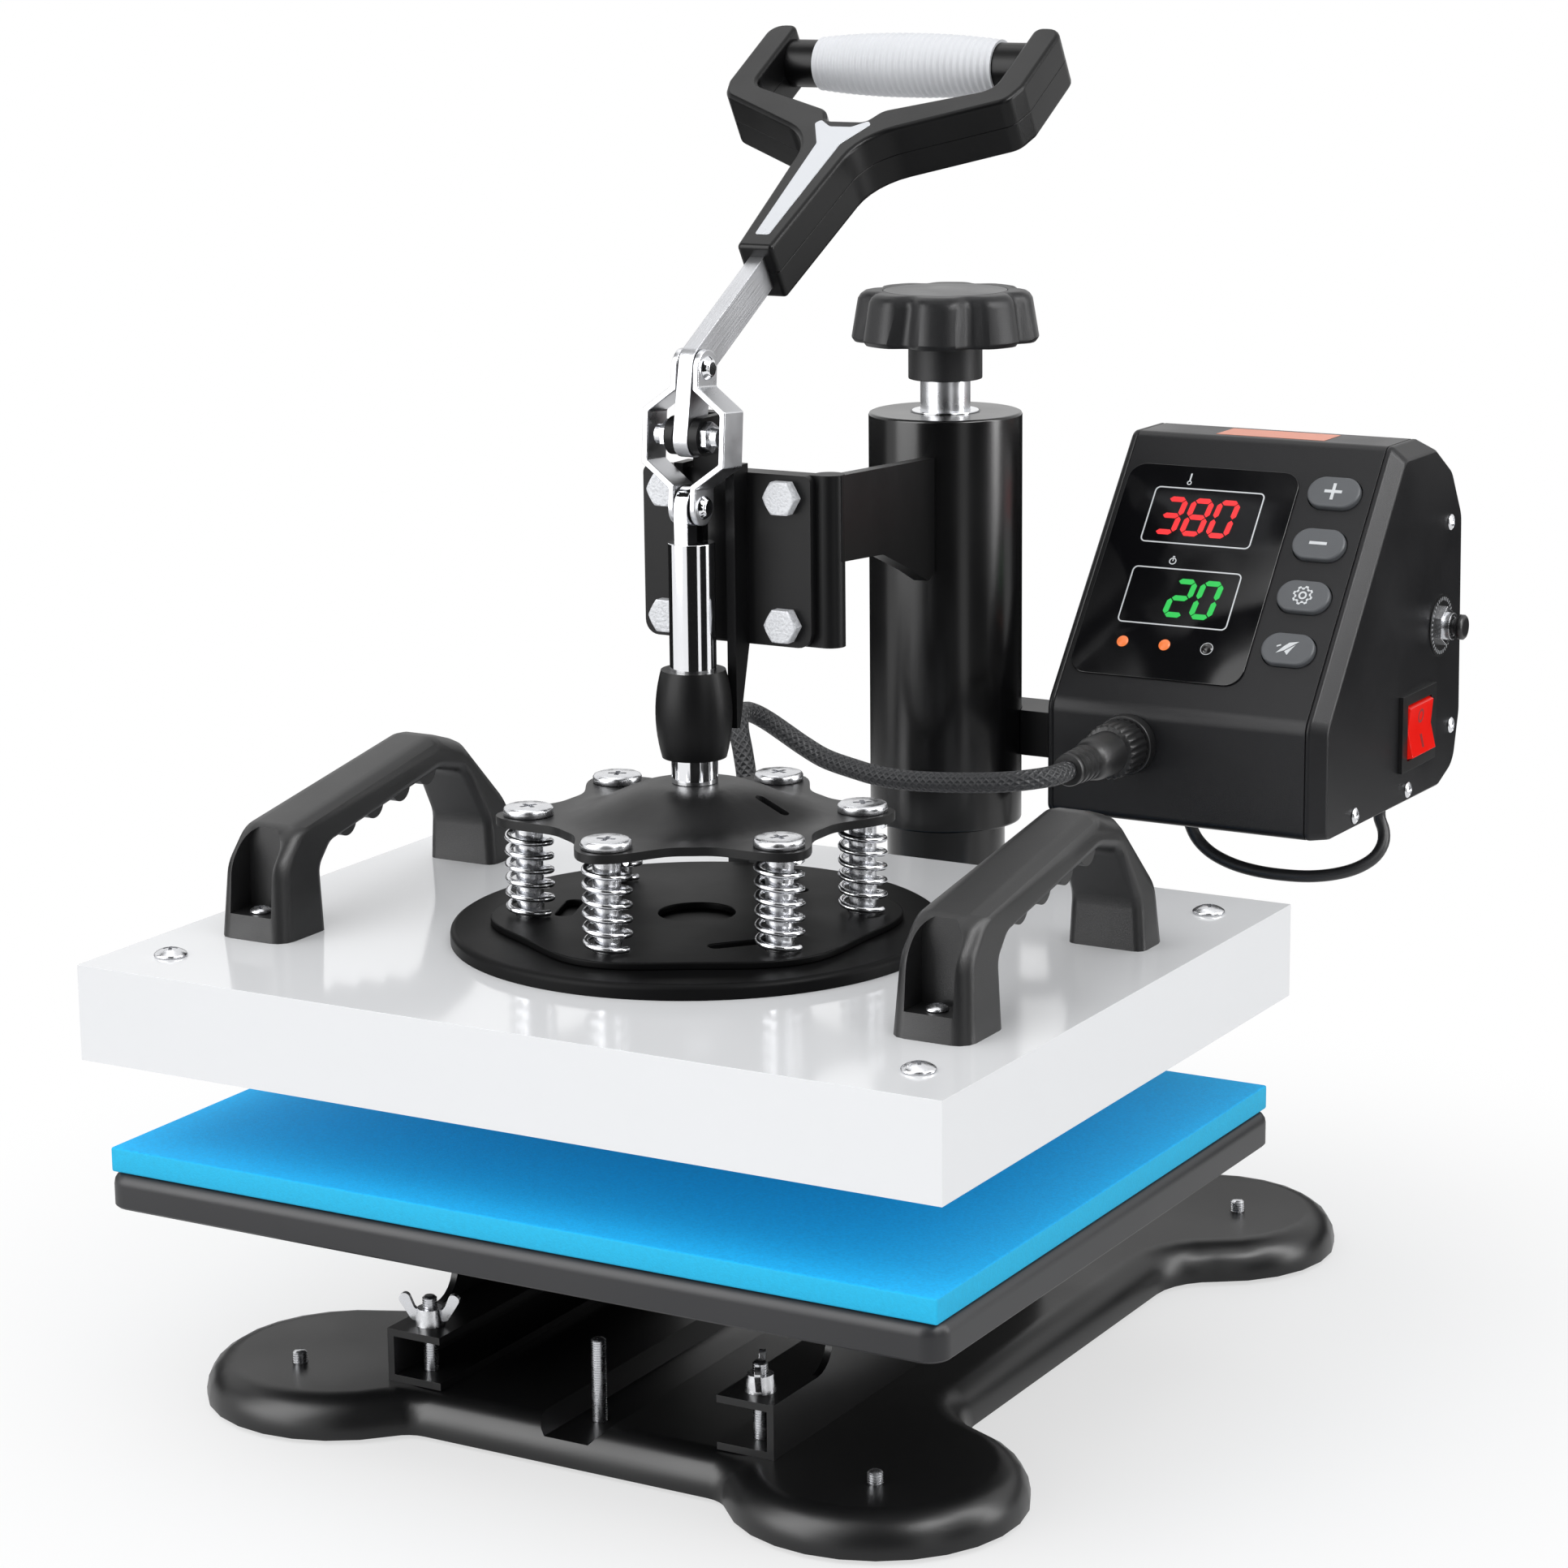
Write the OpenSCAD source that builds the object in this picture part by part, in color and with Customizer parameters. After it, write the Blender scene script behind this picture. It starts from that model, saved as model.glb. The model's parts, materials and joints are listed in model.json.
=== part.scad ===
/* [Platens] */
// Width of the upper platen, left to right
platen_w = 380; // [350:1:420]
// Depth of the upper platen, front to back
platen_d = 305; // [290:1:320]
// Height of the white cover
cover_h = 38.5; // [32:0.5:50]
// Sheet thickness of the white cover
cover_wall = 2; // [1:0.5:3]
// Thickness of the cast heating plate
heater_t = 14; // [10:0.5:18]
// Thickness of the insulation mat
mat_t = 18; // [8:0.5:18]
// Width of the sponge pad
pad_w = 368; // [330:1:372]
// Depth of the sponge pad
pad_d = 290; // [270:1:294]
// Thickness of the sponge pad
pad_t = 10; // [6:0.5:14]
// Width of the lower platen
lower_w = 372; // [350:1:400]
// Depth of the lower platen
lower_d = 294; // [280:1:310]
// Thickness of the lower platen
lower_t = 14.5; // [10:0.5:20]
// Edge rounding of the lower platen
lower_round = 5; // [2:0.5:6]
// Open height between the pad and the heating plate
platen_gap = 37; // [34:0.5:45]

/* [Base] */
// Height of the base pan's top above the floor
base_h = 18; // [15:0.5:30]
// Sheet thickness of the base pan
base_wall = 3; // [2:0.5:4]
// Clearance of the pan's rim above the floor
rim_gap = 2; // [1:0.5:4]
// Rounding of the pan's upper edge
pan_round = 13; // [6:0.5:13]
// Radius of a front lobe
front_lobe_r = 58; // [50:1:64]
// Sideways place of a front lobe
front_lobe_x = 122; // [112:1:128]
// Place of a front lobe in front of the ram axis
front_lobe_y = 76; // [66:1:86]
// Radius of a rear lobe
rear_lobe_r = 56; // [50:1:62]
// Sideways place of a rear lobe
rear_lobe_x = 110; // [104:1:116]
// Place of a rear lobe behind the ram axis
rear_lobe_y = 255; // [245:1:270]
// Half width of the pan's waist
waist_half = 120; // [112:1:126]
// Front edge of the pan in front of the ram axis
front_edge = 106; // [98:1:112]
// Rear edge of the pan behind the ram axis
rear_edge = 285; // [278:1:292]
// Corner radius where an edge runs into a lobe
crotch_r = 14; // [8:1:18]
// Corner radius where the waist runs into a lobe
waist_r = 30; // [20:1:40]
// Half width of the trough pressed along the pan's middle
trough_half = 16; // [12:1:24]
// Depth of the trough
trough_depth = 6; // [3:0.5:7]
// Radius of a rubber foot
foot_r = 20; // [14:0.5:26]
// Diameter of the small studs
stud_d = 6; // [5:0.5:8]
// Height of a foot screw's end above its lobe
foot_stud_h = 5; // [3:0.5:8]
// Height of the accessory stud above the trough
accessory_h = 34; // [24:1:36]
// Place of the accessory stud in front of the ram axis
accessory_y = 79; // [70:1:90]

/* [Lower platen support] */
// Height of the lower platen's underside above the base pan
support_h = 72; // [66:0.5:85]
// Sideways place of a support channel's middle
channel_x = 76; // [70:1:82]
// Width of a channel
channel_w = 25; // [22:0.5:30]
// Height of a channel
channel_h = 22; // [18:0.5:26]
// Sheet thickness of a channel
channel_t = 3; // [2:0.5:4]
// Front end of a channel in front of the ram axis
channel_front = 96; // [90:1:100]
// Rear end of a channel behind the ram axis
channel_rear = 130; // [100:1:140]
// Front edge of a channel's upright in front of the ram axis
upright_front = 50; // [40:1:60]
// Distance from a clamp stud to the front end of its channel
clamp_setback = 12; // [10:1:16]
// Height of a clamp stud above its channel
clamp_stud_h = 12; // [9:1:18]
// Radius of a wing nut over its wings
wing_r = 13; // [11:0.5:15]

/* [Column] */
// Place of the column behind the ram axis
column_y = 213; // [205:1:225]
// Radius of the column post
post_r = 26; // [24:0.5:28]
// Wall of the swing sleeve
sleeve_wall = 7.2; // [6:0.1:9]
// Length of the swing sleeve
sleeve_length = 180; // [160:1:190]
// Thickness of the sleeve's closed top
sleeve_cap_t = 12; // [8:0.5:16]
// Distance of the sleeve's top below the lever pivot
sleeve_drop = 16; // [12:0.5:24]
// Radius of the pressure spindle
spindle_r = 10.8; // [9:0.1:12]
// Length of spindle that shows under the knob's hub
spindle_show = 14.3; // [10:0.1:20]
// Radius of the pressure knob
knob_r = 40.4; // [34:0.1:44]
// Height of the pressure knob
knob_h = 22; // [20:0.5:28]
// Radius of the knob's hub
hub_r = 16; // [14:0.5:20]
// Height of the knob's hub
hub_h = 16; // [10:0.5:20]
// Number of finger hollows round the knob
knob_lobes = 8; // [6:1:10]
// Depth of a finger hollow
lobe_depth = 5; // [3:0.5:6]
// Rim left round the cap that is let into the knob
knob_rim = 0.8; // [0.6:0.1:6]

/* [Arm and clamp] */
// Front face of the arm's plate behind the ram axis
arm_plate_y = 24; // [23:0.5:27]
// Thickness of the arm's plates
arm_t = 6; // [4:0.5:8]
// Left edge of the arm's front plate
arm_left = 36; // [35:0.5:42]
// Right edge of the arm's front plate
arm_right = 51; // [48:0.5:58]
// Height of the clamp's flange and of the arm's front plate
flange_h = 68; // [66:0.5:72]
// Width of the clamp's flange
flange_w = 76; // [74:0.5:78]
// Place of the flange's middle to the right of the ram axis
flange_x = 4; // [2:0.5:6]
// Thickness of the clamp's flange
flange_t = 4; // [3:0.5:5]
// Bolt spacing on the flange, sideways
bolt_dx = 53; // [50:0.5:56]
// Bolt spacing on the flange, upright
bolt_dz = 50.5; // [44:0.5:52]
// Diameter of the flange bolts
bolt_d = 8; // [6:0.5:9]
// Thickness of one clamp cheek
cheek_t = 4; // [3:0.5:5]
// Length of ram rod that shows under the guide barrel
rod_show = 22.9; // [20:0.1:30]
// Height of the guide barrel
barrel_h = 35; // [30:0.5:42]
// Largest radius of the guide barrel
barrel_r = 15.2; // [14.5:0.1:17]
// Height of the lever pivot above the guide barrel's foot
clamp_reach = 127; // [126:0.5:135]
// Radius of the plunger
plunger_r = 9.2; // [8.5:0.1:9.4]
// Thickness of the plunger's flat tang
tang_t = 6; // [5:0.1:6.4]

/* [Lever and links] */
// Thickness of the lever bar
bar_t = 6.5; // [5.5:0.1:6.8]
// Width of the lever bar
bar_w = 14.5; // [12:0.5:15]
// Distance from the pivot to the pin that drives the links
crank_r = 26.5; // [25.5:0.1:27.5]
// Backward lean of the lever bar's foot at rest
crank_lean = 9; // [7:0.5:11]
// Height of the lower link pin below the pivot
pin_drop = 27.6; // [27:0.1:29]
// Rise of the open lever above the level
lever_rise = 30.5; // [28:0.5:36]
// Radius of the lever pivot pin
pivot_r = 4; // [3:0.1:4.5]
// Radius of the link rivets
rivet_r = 3; // [2.5:0.1:3.5]
// Width of a link strip
link_w = 14.5; // [12:0.5:15]
// Thickness of a link strip
link_t = 2.5; // [1.5:0.1:2.6]
// Half width inside the links' bulge
bulge_half = 16; // [15:0.1:17]
// Distance along the lever from its bend to the handle's neck
neck_s = 60; // [54:1:66]
// Distance along the lever from its bend to the grip's axis
grip_s = 207; // [200:1:214]
// Thickness of the handle
handle_t = 25; // [22:0.5:28]
// Half width of the handle over its horns
horn_half = 69; // [65:0.5:74]
// Width of a horn
horn_w = 13; // [11:0.5:16]
// Half length of the ribbed grip
grip_half = 42; // [36:0.5:46]
// Radius of the ribbed grip at its middle
grip_r = 13.4; // [12.4:0.1:15]
// Radius of the bar inside the grip
grip_bar_r = 10; // [8:0.1:10.5]
// Wall of a horn outside the bar's end
bar_end_wall = 4.5; // [3.5:0.1:7]

/* [Ram and springs] */
// Radius of the round seat disc
disc_r = 98; // [92:0.5:100]
// Thickness of the round seat disc
disc_t = 6; // [4:0.5:8]
// Mean radius of the lobed disc plate
disc_plate_r = 79; // [78:0.5:84]
// Thickness of the lobed disc plate
disc_plate_t = 3; // [2:0.5:5]
// Radius of the spring circle
spring_circle_r = 66; // [64:0.5:67]
// Free height of the springs
spring_h = 37; // [32:0.1:42]
// Outer radius of a spring
spring_r = 9.9; // [9.4:0.1:10.4]
// Wire diameter of a spring
wire_d = 2.5; // [1.8:0.1:2.8]
// Number of curls in a spring
spring_turns = 6; // [5:1:7]
// Thickness of the six-armed pressure plate
spider_t = 3.5; // [3:0.5:7]
// Rise of the pressure plate's dome
dome_h = 12.5; // [8:0.5:16]
// Radius of a spring screw's shank
shank_r = 5.5; // [4.5:0.1:6]
// Radius of a spring screw's head
head_r = 10; // [8:0.1:11]
// Height of a spring screw's head
head_h = 3.6; // [3:0.1:5]

/* [Platen handles] */
// Distance from a handle's middle to the platen's side
handle_inset = 38; // [34:0.5:44]
// Width of a platen handle
handle_w = 33; // [30:0.5:38]
// Length of a platen handle
handle_l = 170; // [160:1:176]
// Front end of a platen handle in front of the ram axis
handle_front = 92; // [86:1:100]
// Height of a platen handle
handle_h = 62.5; // [58:0.5:68]
// Length of a handle's front foot
handle_foot = 30; // [26:0.5:32]
// Length of a handle's rear foot
rear_foot = 22; // [20:0.5:26]

/* [Control box] */
// Left side of the control box, from the ram axis
box_left = 50; // [48:0.5:60]
// Width of the control box
box_w = 128; // [122:0.5:128]
// Front face of the control box behind the ram axis
box_front = 212; // [206:1:216]
// Depth of the control box
box_d = 160; // [155:1:170]
// Underside of the control box above the white cover
box_clear = 9; // [6:0.5:16]
// Height of the control box
box_h = 158.5; // [156:0.5:170]
// Height of the box's upright front face
box_face_h = 51; // [48:0.5:54]
// Lean of the control panel from the upright
panel_lean = 38.3; // [36:0.1:40]
// Wall of the box shell
box_wall = 2.5; // [2:0.1:3]
// Thickness of the left side cover
side_t = 3; // [2:0.5:4]
// Thickness of the right side cover
right_t = 8; // [7:0.5:10]
// Bevel along the front, panel and top edges of the right side cover
bevel_w = 6; // [3:0.5:6]
// Width of a push button
button_w = 24; // [20:0.5:25]
// Height of a push button
button_h = 15; // [12:0.5:16]
// Step between push buttons
button_step = 25.6; // [22:0.1:26]
// Length of the rocker switch's bezel
rocker_l = 40; // [32:0.5:42]
// Height of the rocker switch's bezel
rocker_h = 34; // [28:0.5:36]
// Radius of the breaker's threaded bush
bush_r = 6; // [5:0.1:7]

/* [Clearances] */
// Radial clearance of a running fit
run_gap = 0.06; // [0.02:0.01:0.1]
// Clearance between pieces that move past each other
slide_gap = 0.4; // [0.3:0.05:0.6]
// Clearance of a hole round its screw
hole_gap = 0.2; // [0.1:0.05:0.4]

/* [Hidden] */
$fn = 64;

// Heights above the floor, from the feet up
lower_bottom = base_h + support_h;
pad_bottom = lower_bottom + lower_t;
pad_top = pad_bottom + pad_t;
cover_bottom = pad_top + platen_gap;
cover_top = cover_bottom + cover_h;
disc_top = cover_top + disc_t;
seat_top = disc_top + disc_plate_t;
spider_bottom = seat_top + spring_h;
spider_top = spider_bottom + spider_t;
dome_top = spider_top + dome_h;
barrel_bottom = spider_top + rod_show;
pivot_z = barrel_bottom + clamp_reach;
lower_pin_z = pivot_z - pin_drop;
tang_half = 8;
through = 60;
shoulder_z = lower_pin_z - 14;
flange_z = pivot_z - 84 + flange_h / 2;
sleeve_top = pivot_z - sleeve_drop;
sleeve_bottom = sleeve_top - sleeve_length;
box_bottom = cover_top + box_clear;

// Front to back: the machine is drawn round its ram axis, then centred over its footprint
inlet_t = 3;
front_y = -max(platen_d / 2, front_lobe_y + front_lobe_r, lower_d / 2);
rear_y = max(box_front + box_d + inlet_t, rear_lobe_y + rear_lobe_r);
centre_y = (front_y + rear_y) / 2;

sleeve_r = post_r + run_gap + sleeve_wall;
crank_y = crank_r * sin(crank_lean);
crank_z = crank_r * cos(crank_lean);
link_l = norm([crank_y, crank_z + pin_drop]);
link_lean = atan2(crank_y, crank_z + pin_drop);
trough_z = base_h - trough_depth;
clamp_y = -channel_front + clamp_setback;
spring_mean_r = spring_r - wire_d / 2;
handle_x = platen_w / 2 - handle_inset;
corner_screw = [platen_w / 2 - 24, platen_d / 2 - 28];
foot_screw_y = [-handle_front + 8, -handle_front + handle_l - 8];
gland_x = -37;
gland_y = 104;
gland_h = 16;
cable_d = 8.6;
lead_d = 5.5;
plug_x = box_left + 39;
plug_z = box_bottom + 36.5;
plug_back = box_front - 60;
socket_t = 6;
box_right = box_left + box_w;
shell_w = box_w - side_t - right_t;
shell_x = box_left + side_t + shell_w / 2;
panel_z = box_bottom + box_face_h;
panel_l = (box_h - box_face_h) / cos(panel_lean);
panel_top_y = box_front + (box_h - box_face_h) * tan(panel_lean);
rocker_y = box_front + box_d - 54;
rocker_z = box_bottom + 32;
breaker_y = box_front + box_d - 26;
breaker_z = box_bottom + 73;

// Braided heater cable: the loop over its gland, then the run along to its plug
gland_loop = [[0, 0, 0], [0, 0, 12], [-0.8, 0, 24], [-3, 1, 34], [-6.5, 4, 42], [-9.5, 9.5, 46.5],
    [-10.5, 16, 47.5], [-9, 22, 45.5], [-5, 27, 41.5], [1.5, 30, 36.5], [9.5, 31.5, 31.5], [20, 31.5, 27]];
plug_run = [[-91, -18.5, -5], [-78, -20, -6.5], [-63, -21.5, -6.5], [-48, -22.5, -5.5], [-33, -23.2, -4],
    [-18, -23, -2.2], [-9, -20.8, -0.9], [-2.4, -14.6, -0.2], [0, -6.5, 0], [0, 0, 0]];
grommet_r = 5;
// Short lead that hangs in a loop under the control box, from the box's lower front left corner
lead_loop_run = [[34, 73, -3.5], [34, 73, -9], [35.5, 73.2, -15.5], [39, 73.8, -22], [45.5, 74.5, -27.5],
    [55, 75.5, -31.5], [66, 77, -33.8], [78, 79, -34.7], [90, 81.5, -34.5], [box_w - 27.2, 84.5, -32.8],
    [box_w - 18.5, 88, -29.8], [box_w - 12.6, 92.5, -25.5], [box_w - 10.2, 96.5, -20],
    [box_w - 11, 99.2, -14.5], [box_w - right_t - grommet_r - 0.4, 100, -9],
    [box_w - right_t - grommet_r - 0.4, 100, -3.5]];
heater_route = concat([for (p = gland_loop) p + [gland_x, gland_y, cover_top + gland_h]],
    [for (p = plug_run) p + [plug_x, plug_back, plug_z]]);
lead_route = [for (p = lead_loop_run) p + [box_left, box_front, box_bottom]];

function lerp(a, b, t) = a + (b - a) * t;
function unit(v) = v / norm(v);
function arc(c, r, a0, a1, n) = [for (i = [0 : n]) let (a = lerp(a0, a1, i / n)) c + r * [cos(a), sin(a)]];
function flip(pts) = [for (i = [len(pts) - 1 : -1 : 0]) [-pts[i].x, pts[i].y]];
function level(pts, z) = [for (p = pts) [p.x, p.y, z]];

// Polygon whose corners [x, y, r] are rounded by arcs
function rounded(c, n = 6) = [for (i = [0 : len(c) - 1])
    let (p = [c[i].x, c[i].y], a = c[(i + len(c) - 1) % len(c)], b = c[(i + 1) % len(c)],
        u = unit([a.x, a.y] - p), v = unit([b.x, b.y] - p), r = c[i][2],
        half = acos(u * v) / 2, m = p + unit(u + v) * r / sin(half),
        s = p + u * r / tan(half) - m, e = p + v * r / tan(half) - m,
        a0 = atan2(s.y, s.x), turn = (atan2(e.y, e.x) - a0 + 900) % 360 - 180)
    each arc(m, r, a0, a0 + turn, n)];

// Open line through such corners, with its two ends left sharp
function bent(c, n) = let (r = rounded(c, n), last = len(c) - 1) concat([[c[0].x, c[0].y]],
    [for (i = [n + 1 : (n + 1) * last - 1]) r[i]], [[c[last].x, c[last].y]]);

// Corners of a polygon whose edges are each drawn in by their own amount
function drawn_in(c, t) = [for (i = [0 : len(c) - 1])
    let (k = len(c), p = [c[i].x, c[i].y], a = c[(i + k - 1) % k], b = c[(i + 1) % k],
        u = unit([a.x, a.y] - p), v = unit([b.x, b.y] - p),
        q = p + (t[i] * u + t[(i + k - 1) % k] * v) / abs(cross(u, v)))
    [q.x, q.y, c[i][2]]];

// Closed skin over level rings, counted anticlockwise from above; each end is fanned from its hubs
module loft(rings, hubs = [[0, 0]], near = undef) {
    n = len(rings[0]);
    k = len(rings);
    h = len(hubs);
    foot = [for (i = [0 : n - 1]) n * k + (near == undef ? 0 : near[i])];
    polyhedron(concat([for (r = rings) each r], level(hubs, rings[0][0].z), level(hubs, rings[k - 1][0].z)),
        [for (i = [0 : n - 1]) let (j = (i + 1) % n, t = (k - 1) * n) each concat(
            [[foot[i], i, j], [foot[i] + h, t + j, t + i]],
            foot[i] == foot[j] ? [] : [[foot[i], j, foot[j]], [foot[i] + h, foot[j] + h, t + j]],
            [for (r = [0 : k - 2]) each [[r * n + i, r * n + n + i, r * n + n + j],
                [r * n + i, r * n + n + j, r * n + j]]])]);
}

// Rings of a round tube along a route, for its sides and its joint ends
function tangent(p, i) = unit(p[min(i + 1, len(p) - 1)] - p[max(i - 1, 0)]);
function frames(p, i, up) = i == len(p) ? []
    : let (t = tangent(p, i), s = unit(cross(t, up)), w = cross(s, t)) concat([[s, w]], frames(p, i + 1, w));
function tube_rings(p, r, sides, up) = let (f = frames(p, 0, up)) [for (i = [0 : len(p) - 1])
    [for (k = [0 : sides - 1]) p[i] + r * (cos(360 * k / sides) * f[i][0] - sin(360 * k / sides) * f[i][1])]];

// Closed skin over rings of equal count that turn anticlockwise about the way they follow
module skin(rings) {
    n = len(rings[0]);
    t = (len(rings) - 1) * n;
    polyhedron([for (ring = rings) each ring], concat(
        [for (i = [1 : n - 2]) [0, i, i + 1]],
        [for (i = [1 : n - 2]) [t, t + i + 1, t + i]],
        [for (j = [0 : len(rings) - 2], i = [0 : n - 1]) each let (a = j * n + i, b = j * n + (i + 1) % n)
            [[a, a + n, b + n], [a, b + n, b]]]));
}

module sweep(p, r, sides, up) {
    skin(tube_rings(p, r, sides, up));
}

module put() {
    translate([0, -centre_y, 0]) children();
}

module mirrored() {
    children();
    mirror([1, 0, 0]) children();
}

module along_x(l) {
    rotate([90, 0, 90]) linear_extrude(l, center = true) children();
}

module pan_head(r, h, shank, l) {
    intersection() {
        cylinder(r = r, h = h);
        translate([0, 0, h - 1.6 * r]) sphere(r = 1.6 * r);
    }
    translate([0, 0, -l]) cylinder(r = shank, h = l + 0.5);
}

// Outline of the base pan, drawn in by an inset so that its upper edge can be rounded
function pan_half(t) = let (
    f = [front_lobe_x, -front_lobe_y], g = [rear_lobe_x, rear_lobe_y],
    a = [f.x - sqrt(pow(front_lobe_r + crotch_r, 2) - pow(front_edge + crotch_r - front_lobe_y, 2)),
        -front_edge - crotch_r],
    b = [waist_half + waist_r,
        f.y + sqrt(pow(front_lobe_r + waist_r, 2) - pow(waist_half + waist_r - f.x, 2))],
    c = [waist_half + waist_r,
        g.y - sqrt(pow(rear_lobe_r + waist_r, 2) - pow(waist_half + waist_r - g.x, 2))],
    d = [g.x - sqrt(pow(rear_lobe_r + crotch_r, 2) - pow(rear_edge + crotch_r - g.y, 2)),
        rear_edge + crotch_r],
    fa = atan2(f.y - a.y, f.x - a.x), fb = atan2(b.y - f.y, b.x - f.x),
    gc = atan2(g.y - c.y, g.x - c.x), gd = atan2(d.y - g.y, d.x - g.x))
    concat(arc(a, crotch_r + t, 90, fa, 4), arc(f, front_lobe_r - t, fa + 180, fb + 360, 16),
        arc(b, waist_r + t, fb + 180, 180, 5), arc(c, waist_r + t, 180, gc, 5),
        arc(g, rear_lobe_r - t, gc - 180, gd, 14), arc(d, crotch_r + t, gd - 180, -90, 4));
function pan_outline(t) = concat(pan_half(t), flip(pan_half(t)));
pan_hubs = [[0, 84 - front_lobe_y], [0, rear_lobe_y - 90]];
pan_near = [for (p = pan_outline(0)) p.y < (rear_lobe_y - front_lobe_y) / 2 ? 0 : 1];
function pan_rings(t, z0, z1) = let (r = pan_round - t) concat([level(pan_outline(t), z0)],
    [for (i = [0 : 4]) let (a = 22.5 * i) level(pan_outline(t + r * (1 - cos(a))), z1 - r + r * sin(a))]);

module trough(grow) {
    run = 2 * (front_edge + rear_edge);
    half = trough_half + grow;
    depth = trough_depth + grow;
    translate([0, run / 2, base_h]) rotate([90, 0, 0]) linear_extrude(run)
        polygon([[-half - 1, 1], [-half + depth, -depth], [half - depth, -depth], [half + 1, 1]]);
}

module stud_holes() {
    feet = [for (x = [-1, 1], y = [-1, 1]) foot_place(x, y)];
    clamps = [for (x = [-1, 1]) [x * channel_x, clamp_y, 0]];
    for (p = concat(feet, clamps, [[0, -accessory_y, 0]]))
        translate(p) cylinder(r = stud_d / 2 + hole_gap, h = 3 * base_h, center = true);
}

function foot_place(x, y) = y < 0 ? [x * (front_lobe_x + 10), -front_lobe_y - 20, 0]
    : [x * (rear_lobe_x + 14), rear_lobe_y, 0];

module base_pan() {
    color("#191a1c") put() difference() {
        loft(pan_rings(0, rim_gap, base_h), pan_hubs, pan_near);
        trough(0);
        difference() {
            loft(pan_rings(base_wall, rim_gap - 1, base_h - base_wall), pan_hubs, pan_near);
            trough(base_wall);
        }
        stud_holes();
    }
}

module rubber_feet() {
    foot_top = base_h - base_wall;
    color("#101010") put() for (x = [-1, 1], y = [-1, 1]) translate(foot_place(x, y)) difference() {
        cylinder(r1 = foot_r, r2 = foot_r * 0.8, h = foot_top);
        translate([0, 0, foot_top / 2]) cylinder(r = stud_d / 2 + hole_gap, h = foot_top);
    }
}

module foot_studs() {
    foot_top = base_h - base_wall;
    color("silver") put() for (x = [-1, 1], y = [-1, 1]) translate(foot_place(x, y))
        translate([0, 0, foot_top / 2]) cylinder(r = stud_d / 2, h = base_h + foot_stud_h - foot_top / 2);
}

// A stud with a flat head under the pan
module headed_stud(seat_z, top_z) {
    translate([0, 0, seat_z - base_wall - 2.5]) cylinder(r = stud_d * 0.9, h = 2.5);
    translate([0, 0, seat_z - base_wall - 1]) cylinder(r = stud_d / 2, h = top_z - seat_z + base_wall + 1);
}

module base_studs() {
    color("silver") put() {
        translate([0, -accessory_y, 0]) headed_stud(trough_z, trough_z + accessory_h);
        for (x = [-1, 1]) translate([x * channel_x, clamp_y, 0])
            headed_stud(base_h, base_h + channel_h + clamp_stud_h);
    }
}

module support_channel() {
    outer = channel_x + channel_w / 2;
    inner = channel_x - channel_w / 2;
    run = channel_front + channel_rear;
    tab_w = channel_w + 4;
    web = rounded([[-channel_front, base_h, 2], [-channel_front, base_h + channel_h, 2],
        [-upright_front, base_h + channel_h, 12], [-upright_front, lower_bottom, 3],
        [channel_rear, lower_bottom, 3], [channel_rear, base_h, 2]]);
    difference() {
        union() {
            translate([outer - channel_t / 2, 0, 0]) along_x(channel_t) polygon(web);
            for (z = [base_h, base_h + channel_h - channel_t])
                translate([inner, -channel_front, z]) cube([channel_w, run, channel_t]);
            translate([outer - tab_w, -upright_front + 3, lower_bottom - channel_t])
                cube([tab_w, upright_front + channel_rear - 6, channel_t]);
        }
        translate([channel_x, clamp_y, base_h - 1]) cylinder(r = stud_d / 2 + hole_gap, h = channel_h + 2);
    }
}

module support_channels() {
    color("#1b1c1e") put() mirrored() support_channel();
}

module wing_nut(side, turn) {
    put() translate([side * channel_x, clamp_y, base_h + channel_h]) difference() {
        union() {
            cylinder(r1 = stud_d, r2 = stud_d * 0.85, h = 7);
            rotate([0, 0, turn]) rotate([90, 0, 0]) linear_extrude(2.4, center = true) for (m = [0, 1])
                mirror([m, 0]) polygon(rounded([[3, 0.6, 0.3], [7.5, 2, 2], [wing_r, 11, 2],
                    [wing_r - 4, 14, 2], [6, 6.6, 2], [3, 6, 0.3]]));
        }
        translate([0, 0, -1]) cylinder(r = stud_d / 2 + run_gap, h = 20);
    }
}

module wing_nut_left() {
    color("silver") wing_nut(-1, 20);
}

module wing_nut_right() {
    color("silver") wing_nut(1, 115);
}

function plate_outline(w, d, r) = rounded([[w / 2, -d / 2, r], [w / 2, d / 2, r], [-w / 2, d / 2, r],
    [-w / 2, -d / 2, r]]);

module lower_platen() {
    corner_r = 9;
    color("#1e1f21") put() loft(concat(
        [level(plate_outline(lower_w - 2, lower_d - 2, corner_r - 1), lower_bottom),
            level(plate_outline(lower_w, lower_d, corner_r), lower_bottom + 1)],
        [for (i = [0 : 4]) let (a = 22.5 * i, t = lower_round * (1 - cos(a)))
            level(plate_outline(lower_w - 2 * t, lower_d - 2 * t, corner_r - t),
                pad_bottom - lower_round + lower_round * sin(a))]));
}

module sponge_pad() {
    color("#1c8fe0") put() translate([-pad_w / 2, -pad_d / 2, pad_bottom]) cube([pad_w, pad_d, pad_t]);
}

// Heights inside the sleeve, down from its closed top
collar_lip_t = 2;
spindle_flange_t = 4.5;
lift_room = 9;
thread_length = 44;
collar_lip_z = sleeve_top - sleeve_cap_t - collar_lip_t;
post_top = collar_lip_z - spindle_flange_t - lift_room;
collar_r = spindle_r + 3.7;
hub_z = sleeve_top + spindle_show;
knob_z = hub_z + hub_h;
knob_edge = 5.2;
knob_draft = 2.5;
knob_cap_r = knob_r - lobe_depth - knob_draft - knob_edge - knob_rim;

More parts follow.
